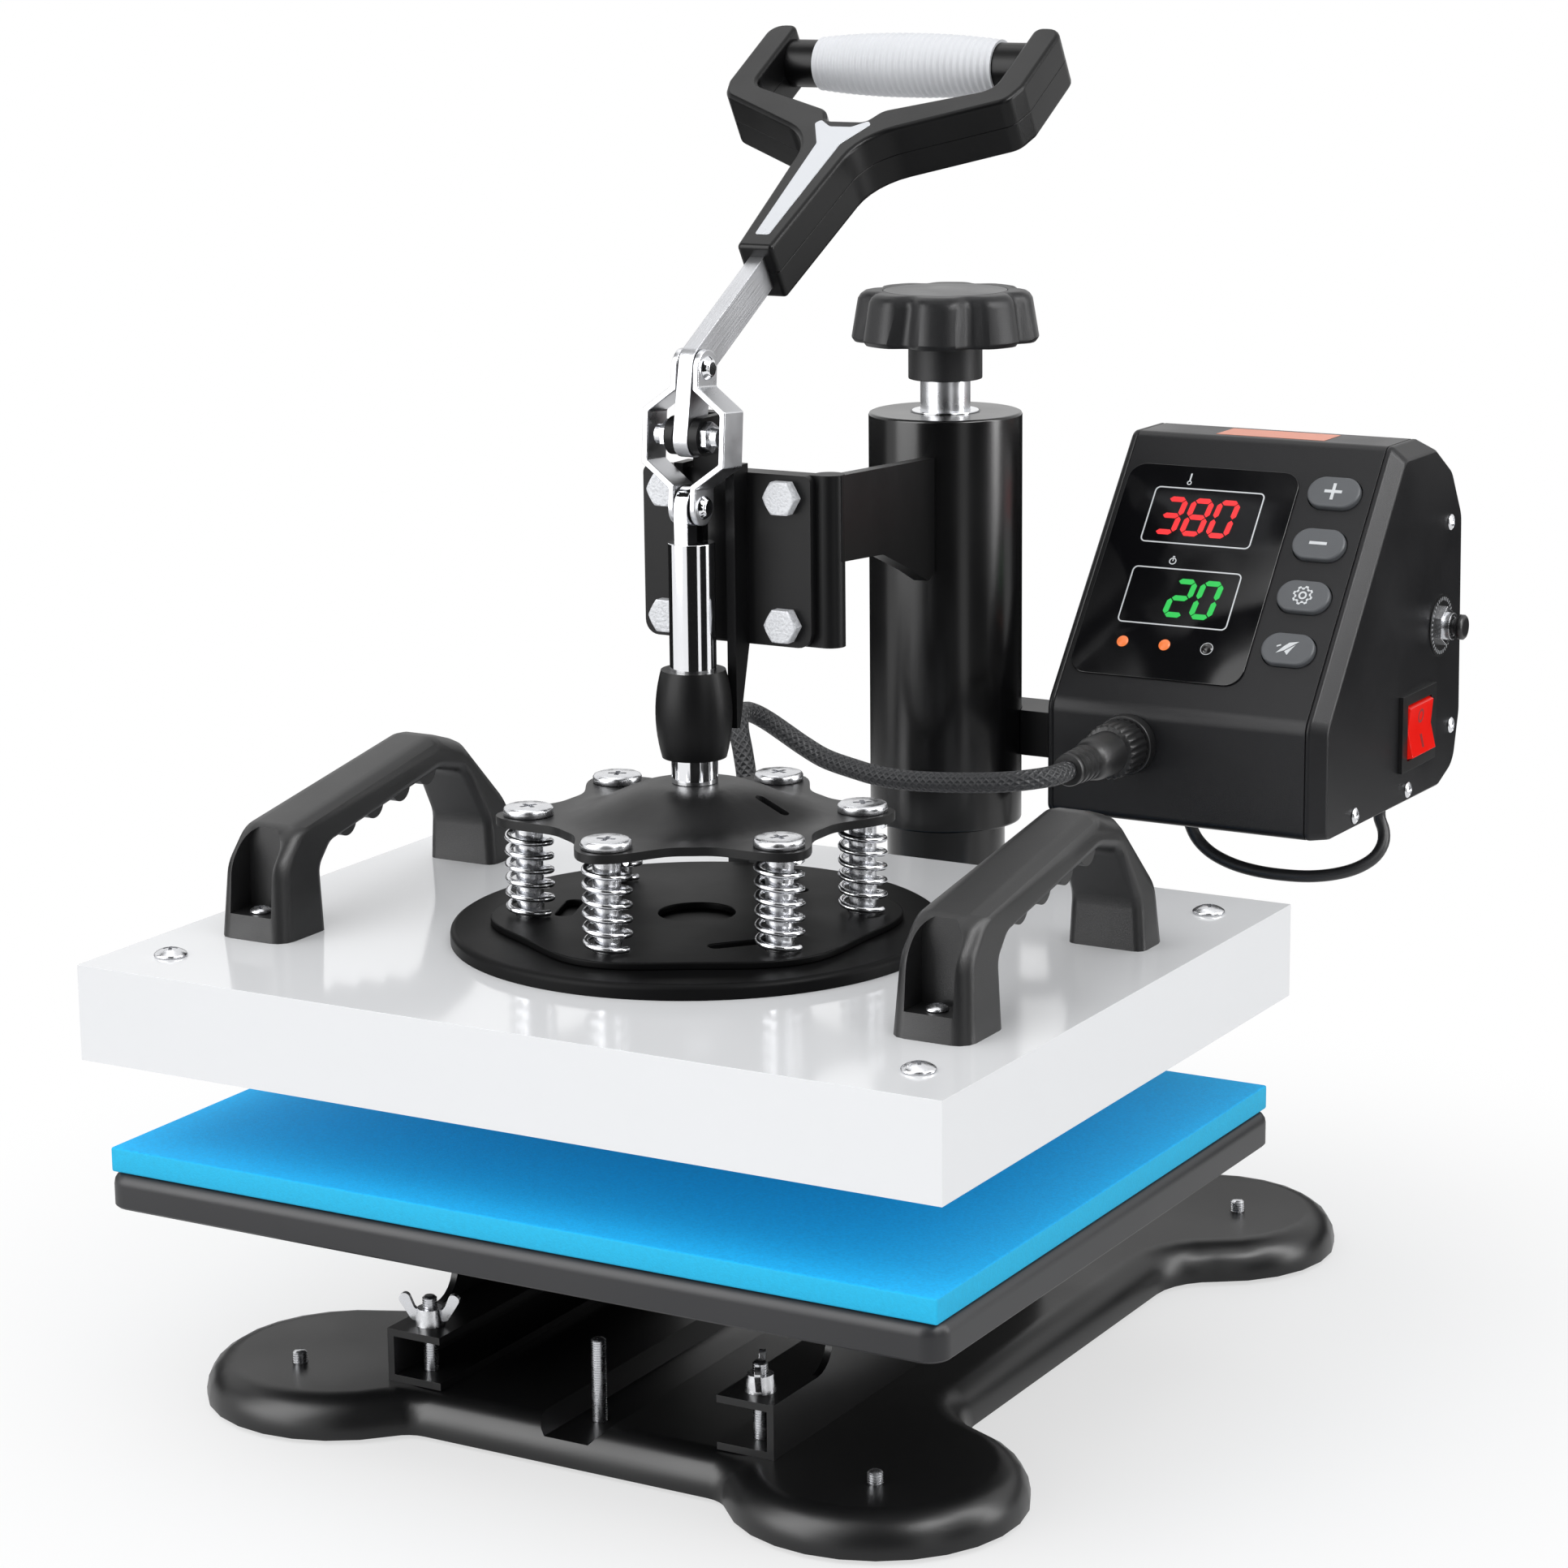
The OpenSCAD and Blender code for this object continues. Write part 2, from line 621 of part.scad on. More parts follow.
module at_column(z) {
    put() translate([0, column_y, z]) children();
}

module column_post() {
    nut_h = 30;
    foot_h = 6;
    post_wall = 4;
    color("#1a1b1d") at_column(base_h) difference() {
        union() {
            cylinder(r = post_r, h = post_top - base_h);
            rotate_extrude() polygon([[0, 0], [post_r + 16, 0], [post_r + 16, foot_h], [post_r + 4, foot_h],
                [post_r, foot_h + 4], [0, foot_h + 4]]);
        }
        translate([0, 0, foot_h]) cylinder(r = post_r - post_wall, h = post_top - base_h - nut_h - foot_h);
        cylinder(r = spindle_r + run_gap, h = post_top);
    }
}

module thrust_collar() {
    color("gainsboro") at_column(collar_lip_z) difference() {
        union() {
            cylinder(r = collar_r + 4, h = collar_lip_t);
            cylinder(r = collar_r, h = collar_lip_t + sleeve_cap_t + 0.8);
        }
        translate([0, 0, -1]) cylinder(r = spindle_r + run_gap, h = sleeve_cap_t + 10);
    }
}

module pressure_spindle() {
    spindle_foot = post_top - thread_length;
    color("lightgray") put() translate([0, column_y, 0]) {
        translate([0, 0, spindle_foot]) cylinder(r = spindle_r, h = hub_z - spindle_foot);
        translate([0, 0, collar_lip_z - spindle_flange_t]) cylinder(r = collar_r, h = spindle_flange_t);
    }
}

function knob_ring(inset, z) = [for (i = [0 : 95]) let (a = 360 * i / 96,
    r = knob_r - lobe_depth * pow((1 + cos(knob_lobes * a)) / 2, 3) - inset) [r * cos(a), r * sin(a), z]];

module pressure_knob() {
    color("#242527") at_column(knob_z) difference() {
        union() {
            loft(concat([knob_ring(1.5, 0), knob_ring(0, 2)],
                [for (i = [0 : 4]) let (a = 22.5 * i, drop = knob_edge * (1 - sin(a)))
                    knob_ring(knob_draft + knob_edge * (1 - cos(a)), knob_h - drop)]));
            translate([0, 0, -hub_h]) cylinder(r = hub_r, h = hub_h + 2);
        }
        translate([0, 0, knob_h - 1]) cylinder(r = knob_cap_r, h = 2);
    }
}

module knob_cap() {
    color("#3a3b3d") at_column(knob_z + knob_h - 1) cylinder(r = knob_cap_r - hole_gap, h = 1);
}

module swing_sleeve() {
    color("#161718") at_column(sleeve_bottom) difference() {
        cylinder(r = sleeve_r, h = sleeve_length);
        translate([0, 0, -1]) cylinder(r = post_r + run_gap, h = sleeve_length - sleeve_cap_t + 1);
        cylinder(r = collar_r + run_gap, h = sleeve_length + 1);
    }
}

module bolt_places() {
    for (x = [-1, 1], z = [-1, 1])
        translate([flange_x + x * bolt_dx / 2, 0, flange_z + z * bolt_dz / 2]) children();
}

// Folded arm: front plate, bent edge and a web that runs back to the sleeve
module arm_bracket() {
    bend_r = arm_t;
    web_from = [arm_right - arm_t / 2, arm_plate_y + bend_r];
    web_to = [5, column_y - 20];
    web_l = norm(web_to - web_from);
    web_turn = atan2(web_to.y - web_from.y, web_to.x - web_from.x);
    half_h = flange_h / 2;
    color("#1b1c1e") put() difference() {
        union() {
            translate([0, arm_plate_y + arm_t, flange_z]) rotate([90, 0, 0]) linear_extrude(arm_t)
                polygon(rounded([[-arm_left, -half_h, 8], [-arm_left, half_h, 4],
                    [arm_right - bend_r, half_h, 0.5], [arm_right - bend_r, -half_h, 0.5]]));
            translate([arm_right - bend_r, arm_plate_y + bend_r, flange_z - half_h])
                cylinder(r = bend_r, h = flange_h);
            translate([web_from.x, web_from.y, flange_z]) rotate([0, 0, web_turn]) rotate([90, 0, 0])
                linear_extrude(arm_t, center = true) polygon(rounded([[-2, 0, 0.5], [-2, half_h, 0.5],
                    [web_l, half_h - 17, 1], [web_l, -half_h + 6, 1], [0.86 * web_l, -half_h + 1, 10],
                    [0.68 * web_l, -half_h + 11, 24], [0.38 * web_l, -half_h + 26, 40]]));
        }
        translate([0, column_y, 0]) cylinder(r = sleeve_r, h = 3 * sleeve_top);
        bolt_places() rotate([90, 0, 0])
            cylinder(r = bolt_d / 2 + hole_gap, h = 4 * arm_plate_y, center = true);
    }
}

// Clamp body: bolted flange, two cheeks, two pivot ears and the barrel that guides the plunger
module clamp_body() {
    cheek_in = plunger_r + slide_gap;
    cheek_front = 10.2;
    flange_front = arm_plate_y - flange_t;
    flange_foot = flange_z - flange_h / 2;
    ear_in = bar_t / 2 + slide_gap;
    ear_t = 3.8;
    ear_r = 7.5;
    back_front = 14.5;
    back_t = flange_front + 1 - back_front;
    cheek_top = pivot_z - 12.5;
    back_top = cheek_top - 2;
    half_h = flange_h / 2;
    color("#17181a") put() difference() {
        union() {
            translate([flange_x, arm_plate_y, flange_z]) rotate([90, 0, 0]) linear_extrude(flange_t)
                polygon(rounded([[-flange_w / 2, -half_h, 6], [-flange_w / 2, half_h, 3],
                    [flange_w / 2, half_h, 3], [flange_w / 2, -half_h, 6]]));
            mirrored() translate([cheek_in + cheek_t / 2, 0, 0]) along_x(cheek_t)
                polygon([[flange_front + 1, flange_foot + 1], [flange_front + 1, cheek_top],
                    [cheek_front, cheek_top], [cheek_front, barrel_bottom + barrel_h * 0.3],
                    [cheek_front + 2.5, barrel_bottom + barrel_h * 0.3]]);
            translate([-cheek_in - 1, back_front, flange_foot + 2])
                cube([2 * (cheek_in + 1), back_t, back_top - flange_foot - 2]);
            translate([-ear_in - ear_t, back_front, back_top - 1])
                cube([2 * (ear_in + ear_t), back_t, pivot_z + ear_r - back_top + 1]);
            mirrored() translate([ear_in + ear_t / 2, 0, pivot_z]) along_x(ear_t) {
                circle(ear_r);
                translate([0, -ear_r]) square([back_front + 1, 2 * ear_r]);
            }
            translate([0, 0, barrel_bottom]) rotate_extrude() polygon(concat([[0, 0]],
                [for (i = [0 : 12]) [barrel_r - 2.4 * pow(i / 6 - 1, 2), barrel_h * i / 12]],
                [[0, barrel_h]]));
        }
        translate([0, 0, barrel_bottom - 1]) cylinder(r = plunger_r + run_gap, h = barrel_h + 2);
        translate([0, 0, pivot_z]) rotate([0, 90, 0])
            cylinder(r = pivot_r + 0.02, h = through, center = true);
        bolt_places() rotate([90, 0, 0])
            cylinder(r = bolt_d / 2 + hole_gap, h = 4 * arm_plate_y, center = true);
    }
}

module flange_bolts() {
    bolt_head = 0.66 * bolt_d;
    nut_h = 0.75 * bolt_d;
    nut_d = 1.85 * bolt_d;
    bolt_end = 1.25 * bolt_d;
    grip = flange_t + arm_t;
    color("silver") put() bolt_places() translate([0, arm_plate_y - flange_t, 0]) rotate([-90, 0, 0]) {
        translate([0, 0, -bolt_head]) cylinder(d = nut_d, h = bolt_head, $fn = 6);
        translate([0, 0, -1]) cylinder(r = bolt_d / 2, h = grip + bolt_end);
        translate([0, 0, grip]) cylinder(d = nut_d, h = nut_h, $fn = 6);
    }
}

module pivot_pin() {
    reach = bulge_half - 2;
    nut_from = bar_t / 2 + slide_gap + 3.8;
    color("silver") put() translate([0, 0, pivot_z]) rotate([0, 90, 0]) {
        cylinder(r = pivot_r, h = 2 * reach, center = true);
        for (m = [0, 1]) mirror([0, 0, m]) translate([0, 0, nut_from]) cylinder(r = 6.2, h = 3, $fn = 6);
    }
}

// Lever frame: origin at the bar's bend, +Y along the lever, +Z out of the handle's face
bend = [crank_y + 0.8, crank_z + 1.4];
module on_lever() {
    put() translate([0, bend.x, pivot_z + bend.y]) rotate([lever_rise, 0, 0]) children();
}

module lever_bar() {
    half = bar_w / 2;
    bar_end = neck_s + socket_l;
    d = [cos(lever_rise), sin(lever_rise)];
    n = [-d.y, d.x];
    e = unit(bend);
    m = [-e.y, e.x];
    foot = -(half + 1) * e;
    tip = bend + bar_end * d;
    mitre = half * (m + n) / (1 + m * n);
    corners = [foot - half * m, bend - mitre, tip - half * n, tip + half * n, bend + mitre, foot + half * m];
    radii = [half - 0.2, 3, 1, 1, 8, half - 0.2];
    color("lightgray") put() translate([0, 0, pivot_z]) difference() {
        along_x(bar_t) polygon(rounded([for (i = [0 : 5]) [corners[i].x, corners[i].y, radii[i]]]));
        rotate([0, 90, 0]) cylinder(r = pivot_r + run_gap, h = through, center = true);
        translate([0, crank_y, crank_z]) rotate([0, 90, 0])
            cylinder(r = rivet_r + run_gap, h = through, center = true);
    }
}

fork_s = grip_s - 58;
socket_l = 60;

// Plan of the moulded handle: neck, fork and two horns that hold the grip
module handle_plan() {
    tip = grip_s + 11;
    horn_in = horn_half - horn_w;
    half = [[8, neck_s, 2], [12, fork_s - 12, 26], [horn_half - 3, fork_s + 16, 9],
        [horn_half, fork_s + 26, 8], [horn_half, tip, 7]];
    inner = [[horn_in, tip, 4], [horn_in, fork_s + 24, 9], [13, fork_s + 7, 8], [9, fork_s - 1, 4]];
    side = concat(half, inner);
    polygon(rounded(concat(side, [for (i = [len(side) - 1 : -1 : 0]) [-side[i].x, side[i].y, side[i][2]]])));
}

module bar_slot() {
    fit = 0.05;
    translate([-bar_t / 2 - fit, neck_s - 1, -bar_w / 2 - fit])
        cube([bar_t + 2 * fit, socket_l + 1 + 2 * fit, bar_w + 2 * fit]);
}

module handle_front_half() {
    color("#202124") on_lever() difference() {
        linear_extrude(handle_t / 2) handle_plan();
        bar_slot();
        translate([0, grip_s, 0]) rotate([0, 90, 0])
            cylinder(r = grip_bar_r + run_gap, h = 2 * (horn_half - bar_end_wall + run_gap), center = true);
        translate([0, 0, handle_t / 2 - 1]) linear_extrude(2) inlay_plan();
    }
}

// Rear half with the grip bar moulded on
module handle_back_half() {
    color("#1d1e20") on_lever() {
        difference() {
            translate([0, 0, -handle_t / 2]) linear_extrude(handle_t / 2) handle_plan();
            bar_slot();
        }
        translate([0, grip_s, 0]) rotate([0, 90, 0])
            cylinder(r = grip_bar_r, h = 2 * (horn_half - bar_end_wall), center = true);
    }
}

module inlay_plan() {
    side = [[3.2, neck_s + 8, 1], [5.5, fork_s - 18, 4], [13, fork_s - 4, 1.5], [11, fork_s - 1.5, 1.2],
        [5, fork_s - 6, 3]];
    polygon(rounded(concat(side, [for (i = [len(side) - 1 : -1 : 0]) [-side[i].x, side[i].y, side[i][2]]])));
}

module handle_inlay() {
    color("gainsboro") on_lever() translate([0, 0, handle_t / 2 - 1]) linear_extrude(1.3) inlay_plan();
}

module ribbed_grip() {
    ribs = 28;
    color("whitesmoke") on_lever() translate([0, grip_s, 0]) rotate([0, 90, 0]) rotate_extrude()
        polygon(concat([[grip_bar_r + run_gap, -grip_half]],
            [for (i = [0 : 2 * ribs]) let (t = i / ribs - 1, dip = i % 2 == 0 ? 0 : 0.6)
                [grip_r - (grip_r - grip_bar_r - 1.2) * pow(abs(t), 2.2) - dip, t * grip_half]],
            [[grip_bar_r + run_gap, grip_half]]));
}

// One bent link strip, drawn upright under its upper pin
module toggle_link() {
    in = bar_t / 2 + slide_gap;
    end_r = link_w / 2;
    wide = bulge_half;
    top = end_r + 1;
    foot = -link_l - end_r - 1;
    flat = 8.5;
    full = 17.5;
    lift = link_t * tan(atan2(wide - in, full - flat) / 2);
    path = [[in, top], [in, -flat], [wide, -full], [wide, full - link_l], [in, flat - link_l], [in, foot]];
    back = [[in + link_t, foot], [in + link_t, flat - lift - link_l], [wide + link_t, full - lift - link_l],
        [wide + link_t, lift - full], [in + link_t, lift - flat], [in + link_t, top]];
    difference() {
        intersection() {
            rotate([90, 0, 0]) linear_extrude(link_w, center = true) polygon(concat(path, back));
            along_x(4 * wide) {
                circle(end_r);
                translate([-end_r, -link_l]) square([link_w, link_l]);
                translate([0, -link_l]) circle(end_r);
            }
        }
        for (z = [0, -link_l]) translate([0, 0, z]) rotate([0, 90, 0])
            cylinder(r = rivet_r + 0.02, h = through, center = true);
    }
}

module at_links() {
    put() translate([0, crank_y, pivot_z + crank_z]) rotate([-link_lean, 0, 0]) children();
}

module toggle_links() {
    color("silver") at_links() mirrored() toggle_link();
}

// Upper rivet through both links and the bar, and the two lower rivets that flank the tang
module link_rivets() {
    in = bar_t / 2 + slide_gap;
    rivet_head = 2.2;
    color("gainsboro") at_links() {
        rotate([0, 90, 0]) cylinder(r = rivet_r, h = 2 * (in + link_t), center = true);
        mirrored() {
            translate([in, 0, -link_l]) rotate([0, 90, 0]) cylinder(r = rivet_r, h = link_t);
            for (z = [0, -link_l]) translate([in + link_t, 0, z]) rotate([0, 90, 0])
                cylinder(r1 = rivet_r + 2, r2 = rivet_r, h = rivet_head);
        }
    }
}

spigot_r = 6;

module plunger() {
    color("lightgray") put() {
        translate([0, 0, dome_top]) cylinder(r = plunger_r, h = shoulder_z - dome_top);
        translate([0, 0, spider_bottom]) cylinder(r = spigot_r, h = dome_top - spider_bottom + 1);
        intersection() {
            translate([0, 0, shoulder_z - 1]) cylinder(r = plunger_r, h = 40);
            along_x(tang_t) {
                translate([-tang_half, shoulder_z - 1]) square([2 * tang_half, lower_pin_z - shoulder_z + 1]);
                translate([0, lower_pin_z]) circle(tang_half);
            }
        }
    }
}

// Outline with a lobe at each spring
function lobed(r_in, r_out, sharp) = [for (i = [0 : 143]) let (a = 2.5 * i,
    r = lerp(r_in, r_out, pow((1 + cos(6 * (a - 30))) / 2, sharp))) [r * cos(a), r * sin(a)]];

module spring_places() {
    for (i = [0 : 5]) rotate([0, 0, 30 + 60 * i]) translate([spring_circle_r, 0, 0]) children();
}

// Cuts that pass through the pressure plate and its dome
module plate_cuts() {
    h = spider_t + dome_h + 2;
    translate([0, 0, spider_bottom - 1]) {
        cylinder(r = spigot_r + 0.02, h = h);
        translate([34, 2, 0]) linear_extrude(h)
            polygon(rounded([[-7, -2.5, 2], [7, -2.5, 2], [7, 2.5, 2], [-7, 2.5, 2]]));
    }
}

module pressure_plate() {
    dome_r = spring_circle_r - head_r - 1;
    dome_flat = plunger_r + 4;
    color("#1a1b1c") put() {
        difference() {
            translate([0, 0, spider_bottom]) linear_extrude(spider_t)
                polygon(lobed(spring_circle_r - 8, spring_circle_r + head_r + 3, 1.7));
            plate_cuts();
            spring_places() translate([0, 0, spider_bottom - 1])
                cylinder(r = shank_r + slide_gap, h = spider_t + 2);
        }
        difference() {
            translate([0, 0, spider_top - 1]) rotate_extrude() polygon(concat([[0, 0], [dome_r, 0]],
                [for (i = [0 : 8]) let (a = i / 8)
                    [lerp(dome_r, dome_flat, a), 1 + dome_h * (1 - cos(180 * a)) / 2]], [[0, 1 + dome_h]]));
            plate_cuts();
        }
    }
}

module spring_screws() {
    head_z = spider_top + run_gap;
    color("silver") put() spring_places() difference() {
        union() {
            translate([0, 0, disc_top]) cylinder(r = shank_r, h = spider_top - disc_top + 1);
            translate([0, 0, head_z]) cylinder(r = head_r, h = head_h);
        }
        translate([0, 0, head_z + head_h - 1.8]) cylinder(r = head_r * 0.45, h = 3, $fn = 6);
    }
}

// Helix of one spring, eight rings to a curl, with a flat end at each seat
function coil_points(h) = [for (i = [0 : 8 * spring_turns]) let (a = 45 * i, t = i / (8 * spring_turns))
    [spring_mean_r * cos(a), spring_mean_r * sin(a), lerp(wire_d / 2 + 0.15, h - wire_d / 2 - 0.15, t)]];
function coil_gap(p) = min([for (i = [0 : len(p) - 5], j = [i + 4 : len(p) - 1]) norm(p[i] - p[j])]) - wire_d;
echo(least_spring_gap = coil_gap(coil_points(spring_h)));

module pressure_springs() {
    color("silver") put() spring_places() translate([0, 0, seat_top])
        sweep(coil_points(spring_h), wire_d / 2, 6, [0, 0, 1]);
}

module seat_disc() {
    edge = 2.5;
    color("#141516") put() translate([0, 0, cover_top]) rotate_extrude($fn = 128) polygon(concat(
        [[0, 0], [disc_r, 0]], arc([disc_r - edge, disc_t - edge], edge, 0, 90, 4), [[0, disc_t]]));
}

module disc_plate() {
    hole_r = 15.4;
    color("#18191a") put() translate([0, 0, disc_top]) difference() {
        linear_extrude(disc_plate_t) polygon(lobed(disc_plate_r - 3, disc_plate_r + 3, 1));
        translate([0, 0, -1]) cylinder(r = hole_r, h = disc_plate_t + 2);
        spring_places() translate([0, 0, -1]) cylinder(r = shank_r + hole_gap, h = disc_plate_t + 2);
        for (i = [0 : 2]) rotate([0, 0, 120 * i - 40]) translate([52, 0, -1]) linear_extrude(disc_plate_t + 2)
            polygon(rounded([[-3.5, -13, 3], [3.5, -13, 3], [3.5, 13, 3], [-3.5, 13, 3]]));
    }
}

module screw_places() {
    for (x = [-1, 1]) {
        for (y = [-1, 1]) translate([x * corner_screw.x, y * corner_screw.y, 0]) children();
        for (y = foot_screw_y) translate([x * handle_x, y, 0]) children();
    }
}

screw_r = 2.4;

module heater_cover() {
    in_w = platen_w - 2 * cover_wall;
    in_d = platen_d - 2 * cover_wall;
    color("white") put() difference() {
        translate([-platen_w / 2, -platen_d / 2, cover_bottom]) cube([platen_w, platen_d, cover_h]);
        translate([-in_w / 2, -in_d / 2, cover_bottom - 1]) cube([in_w, in_d, cover_h - cover_wall + 1]);
        screw_places() translate([0, 0, cover_bottom]) cylinder(r = screw_r + hole_gap, h = cover_h + 1);
        translate([gland_x, gland_y, cover_bottom]) cylinder(r = cable_d / 2 + hole_gap, h = cover_h + 1);
    }
}

module heating_plate() {
    gap = 0.2;
    w = platen_w - 2 * cover_wall - 2 * gap;
    d = platen_d - 2 * cover_wall - 2 * gap;
    color("darkgray") put() translate([-w / 2, -d / 2, cover_bottom]) cube([w, d, heater_t]);
}

module insulation_mat() {
    margin = 58;
    color("khaki") put() translate([-platen_w / 2 + margin, -platen_d / 2 + margin, cover_bottom + heater_t])
        cube([platen_w - 2 * margin, platen_d - 2 * margin, mat_t]);
}

scoop_floor = 10;

module platen_screws() {
    shank_l = cover_wall + 5;
    color("silver") put() for (x = [-1, 1]) {
        for (y = [-1, 1]) translate([x * corner_screw.x, y * corner_screw.y, cover_top])
            pan_head(6.6, 3.4, screw_r, shank_l);
        for (y = foot_screw_y) translate([x * handle_x, y, cover_top + scoop_floor])
            pan_head(4.4, 2.6, screw_r, shank_l + scoop_floor);
    }
}

// Arched grip handle, drawn from its front foot backwards: a rounded section carried along the arch
module platen_handle() {
    l = handle_l;
    h = handle_h;
    f = handle_foot;
    scoop_r = handle_w / 2 - 6.5;
    scoop_h = 24;
    scoop_d = 15;
    crown = 0.69 * l;
    outer = bent([[0, 0, 0], [2.5, h - 33, 14], [14, h - 19, 14], [crown, h, 18], [0.8 * l, h - 6, 16],
        [l - 3, h - 38, 16], [l, 0, 0]], 4);
    inner = bent([[f, 0, 0], [f, h - 36.5, 8], [f + 8.5, h - 28.5, 8], [crown, h - 15, 12],
        [0.79 * l, h - 19, 10], [l - rear_foot, h - 43, 12], [l - rear_foot, 0, 0]], 4);
    difference() {
        union() {
            skin([for (i = [0 : len(outer) - 1])
                let (o = outer[i], n = inner[i], t = norm(o - n), e = (o - n) / t)
                [for (p = handle_section(handle_half(n.y), handle_half(o.y), t))
                    [p.x, n.x + p.y * e.x, n.y + p.y * e.y]]]);
            for (i = [0 : 3]) translate([0, f + 22 + 19 * i, h - 22.7 + 3.2 * i]) rotate([0, 90, 0])
                cylinder(r = 6.5, h = handle_w * 0.7, center = true);
        }
        for (m = [0, 1]) translate([0, m * l, 0]) mirror([0, m, 0]) {
            translate([-scoop_r, -1, scoop_floor]) cube([2 * scoop_r, scoop_d + 1, scoop_h]);
            translate([0, -1, scoop_floor + scoop_h]) rotate([-90, 0, 0])
                cylinder(r = scoop_r, h = scoop_d + 1);
            translate([0, 8, -1]) cylinder(r = screw_r + hole_gap, h = scoop_floor + 2);
        }
    }
}

// Half width of a platen handle at a height, and its section from the inner to the outer side
function handle_half(z) = handle_w / 2 - lookup(z, [[0, 0], [0.7 * handle_h, 2.5], [handle_h, 4.5]]);
function handle_section(inner, outer, t) = rounded(
    [[-inner, 0, 4], [-outer, t, 7], [outer, t, 7], [inner, 0, 4]], 3);

module platen_handle_left() {
    color("#1a1a1b") put() translate([-handle_x, -handle_front, cover_top]) platen_handle();
}

module platen_handle_right() {
    color("#1a1a1b") put() translate([handle_x, -handle_front, cover_top]) platen_handle();
}

module cable_gland() {
    hex_h = 6;
    color("#151515") put() translate([gland_x, gland_y, cover_top]) difference() {
        union() {
            cylinder(d = 20, h = hex_h, $fn = 6);
            translate([0, 0, hex_h]) cylinder(r1 = 8, r2 = 6, h = gland_h - hex_h - 2);
            translate([0, 0, hex_h]) cylinder(r = 5.8, h = gland_h - hex_h);
        }
        translate([0, 0, -1]) cylinder(r = cable_d / 2 - 0.6, h = gland_h - 1);
    }
}

// Side view of the control box, front edge at zero
box_outline = [[0, 2, 4], [0, box_face_h, 12], [panel_top_y - box_front, box_h, 6],
    [panel_top_y - box_front + 29, box_h, 6], [box_d - 16, box_h - 18, 12], [box_d - 3, box_h - 39, 12],
    [box_d, 30, 14], [box_d - 6, 7, 12], [box_d - 24, 0, 8]];

module box_profile() {
    polygon(rounded(box_outline));
}

module at_box(x) {
    put() translate([x, box_front, box_bottom]) children();
}

// Panel frame: +Y up the slope, +Z out of the panel
module on_panel(x, u) {
    put() translate([x, box_front, panel_z]) rotate([90 - panel_lean, 0, 0]) translate([0, u, 0]) children();
}

window_x = box_left + 45.5;
window_u = 0.5 * panel_l - 0.5;
window_w = 81;
window_h = 105;
button_x = box_left + box_w - 25;
button_u = 0.5 * panel_l + 5;

module pill(w, h) {
    for (m = [-1, 1]) translate([m * (w - h) / 2, 0]) circle(h / 2);
    square([w - h, h], center = true);
}

module at_button(i) {
    on_panel(button_x, button_u + (1.5 - i) * button_step) children();
}

module box_shell() {
    color("#1d1e20") difference() {
        at_box(shell_x) along_x(shell_w) difference() {
            box_profile();
            offset(delta = -box_wall) box_profile();
        }
        for (i = [0 : 3]) at_button(i) translate([0, 0, -6]) linear_extrude(12)
            pill(button_w + 2 * slide_gap, button_h + 2 * slide_gap);
        put() translate([plug_x, box_front, plug_z]) rotate([90, 0, 0])
            cylinder(r = 7 + hole_gap, h = 20, center = true);
        at_inlet() cube([inlet_w + hole_gap, 30, inlet_h + hole_gap], center = true);
    }
    color("#1d1e20") for (p = [lead_route[0], lead_route[len(lead_route) - 1]]) put() translate(p)
        cylinder(r = grommet_r, h = box_bottom + box_wall - p.z);
}

module box_side_left() {
    color("#202123") at_box(box_left + side_t / 2) along_x(side_t) box_profile();
}

// Outline of the right cover, anticlockwise, with its front, panel and top edges drawn in
function cover_ring(bevel, x) = let (
    c = drawn_in(box_outline, [for (i = [0 : len(box_outline) - 1]) i < 3 ? bevel : 0]), p = rounded(c))
    level([for (i = [len(p) - 1 : -1 : 0]) p[i]], x);

module box_side_right() {
    color("#202123") difference() {
        at_box(box_right - right_t) rotate([90, 0, 90])
            loft([cover_ring(0, 0), cover_ring(0, right_t - bevel_w), cover_ring(bevel_w, right_t)],
                [[box_d / 2, box_h * 0.4]]);
        put() translate([box_right, rocker_y, rocker_z])
            cube([3 * right_t, rocker_l - 6 + hole_gap, rocker_h - 6 + hole_gap], center = true);
        put() translate([box_right, breaker_y, breaker_z]) rotate([0, 90, 0])
            cylinder(r = bush_r + hole_gap, h = 3 * right_t, center = true);
    }
}

side_screws = [[37, 6.5], [98, 5.5], [box_d - 11, 25], [box_d - 17, box_h - 40.5]];

module box_screws() {
    side_head_r = 3.6;
    side_head_h = 1.8;
    color("silver") for (s = side_screws) {
        at_box(box_right) translate([0, s.x, s.y]) rotate([0, 90, 0])
            pan_head(side_head_r, side_head_h, 0.8, 0);
        at_box(box_left) translate([0, s.x, s.y]) rotate([0, -90, 0])
            pan_head(side_head_r, side_head_h, 0.8, 0);
    }
}

module display_window() {
    color("#101114") on_panel(window_x, window_u) linear_extrude(1) polygon(rounded(
        [[window_w / 2, -window_h / 2, 8], [window_w / 2, window_h / 2, 8], [-window_w / 2, window_h / 2, 8],
            [-window_w / 2, -window_h / 2, 8]]));
}

module status_lights() {
    color("orange") for (i = [-1 : 1]) on_panel(window_x + 1 + 19.8 * i, window_u - 36) translate([0, 0, 1])
        intersection() {
            cylinder(r = 2.6, h = 1.2);
            translate([0, 0, -2.8]) sphere(r = 4);
        }
}

module push_button(i) {
    stem = 4.5;
    proud = 2.6;
    color("dimgray") at_button(i) translate([0, 0, -stem])
        linear_extrude(stem + proud) pill(button_w, button_h);
}

module button_plus() {
    push_button(0);
}

module button_minus() {
    push_button(1);
}

module button_set() {
    push_button(2);
}

module button_start() {
    push_button(3);
}

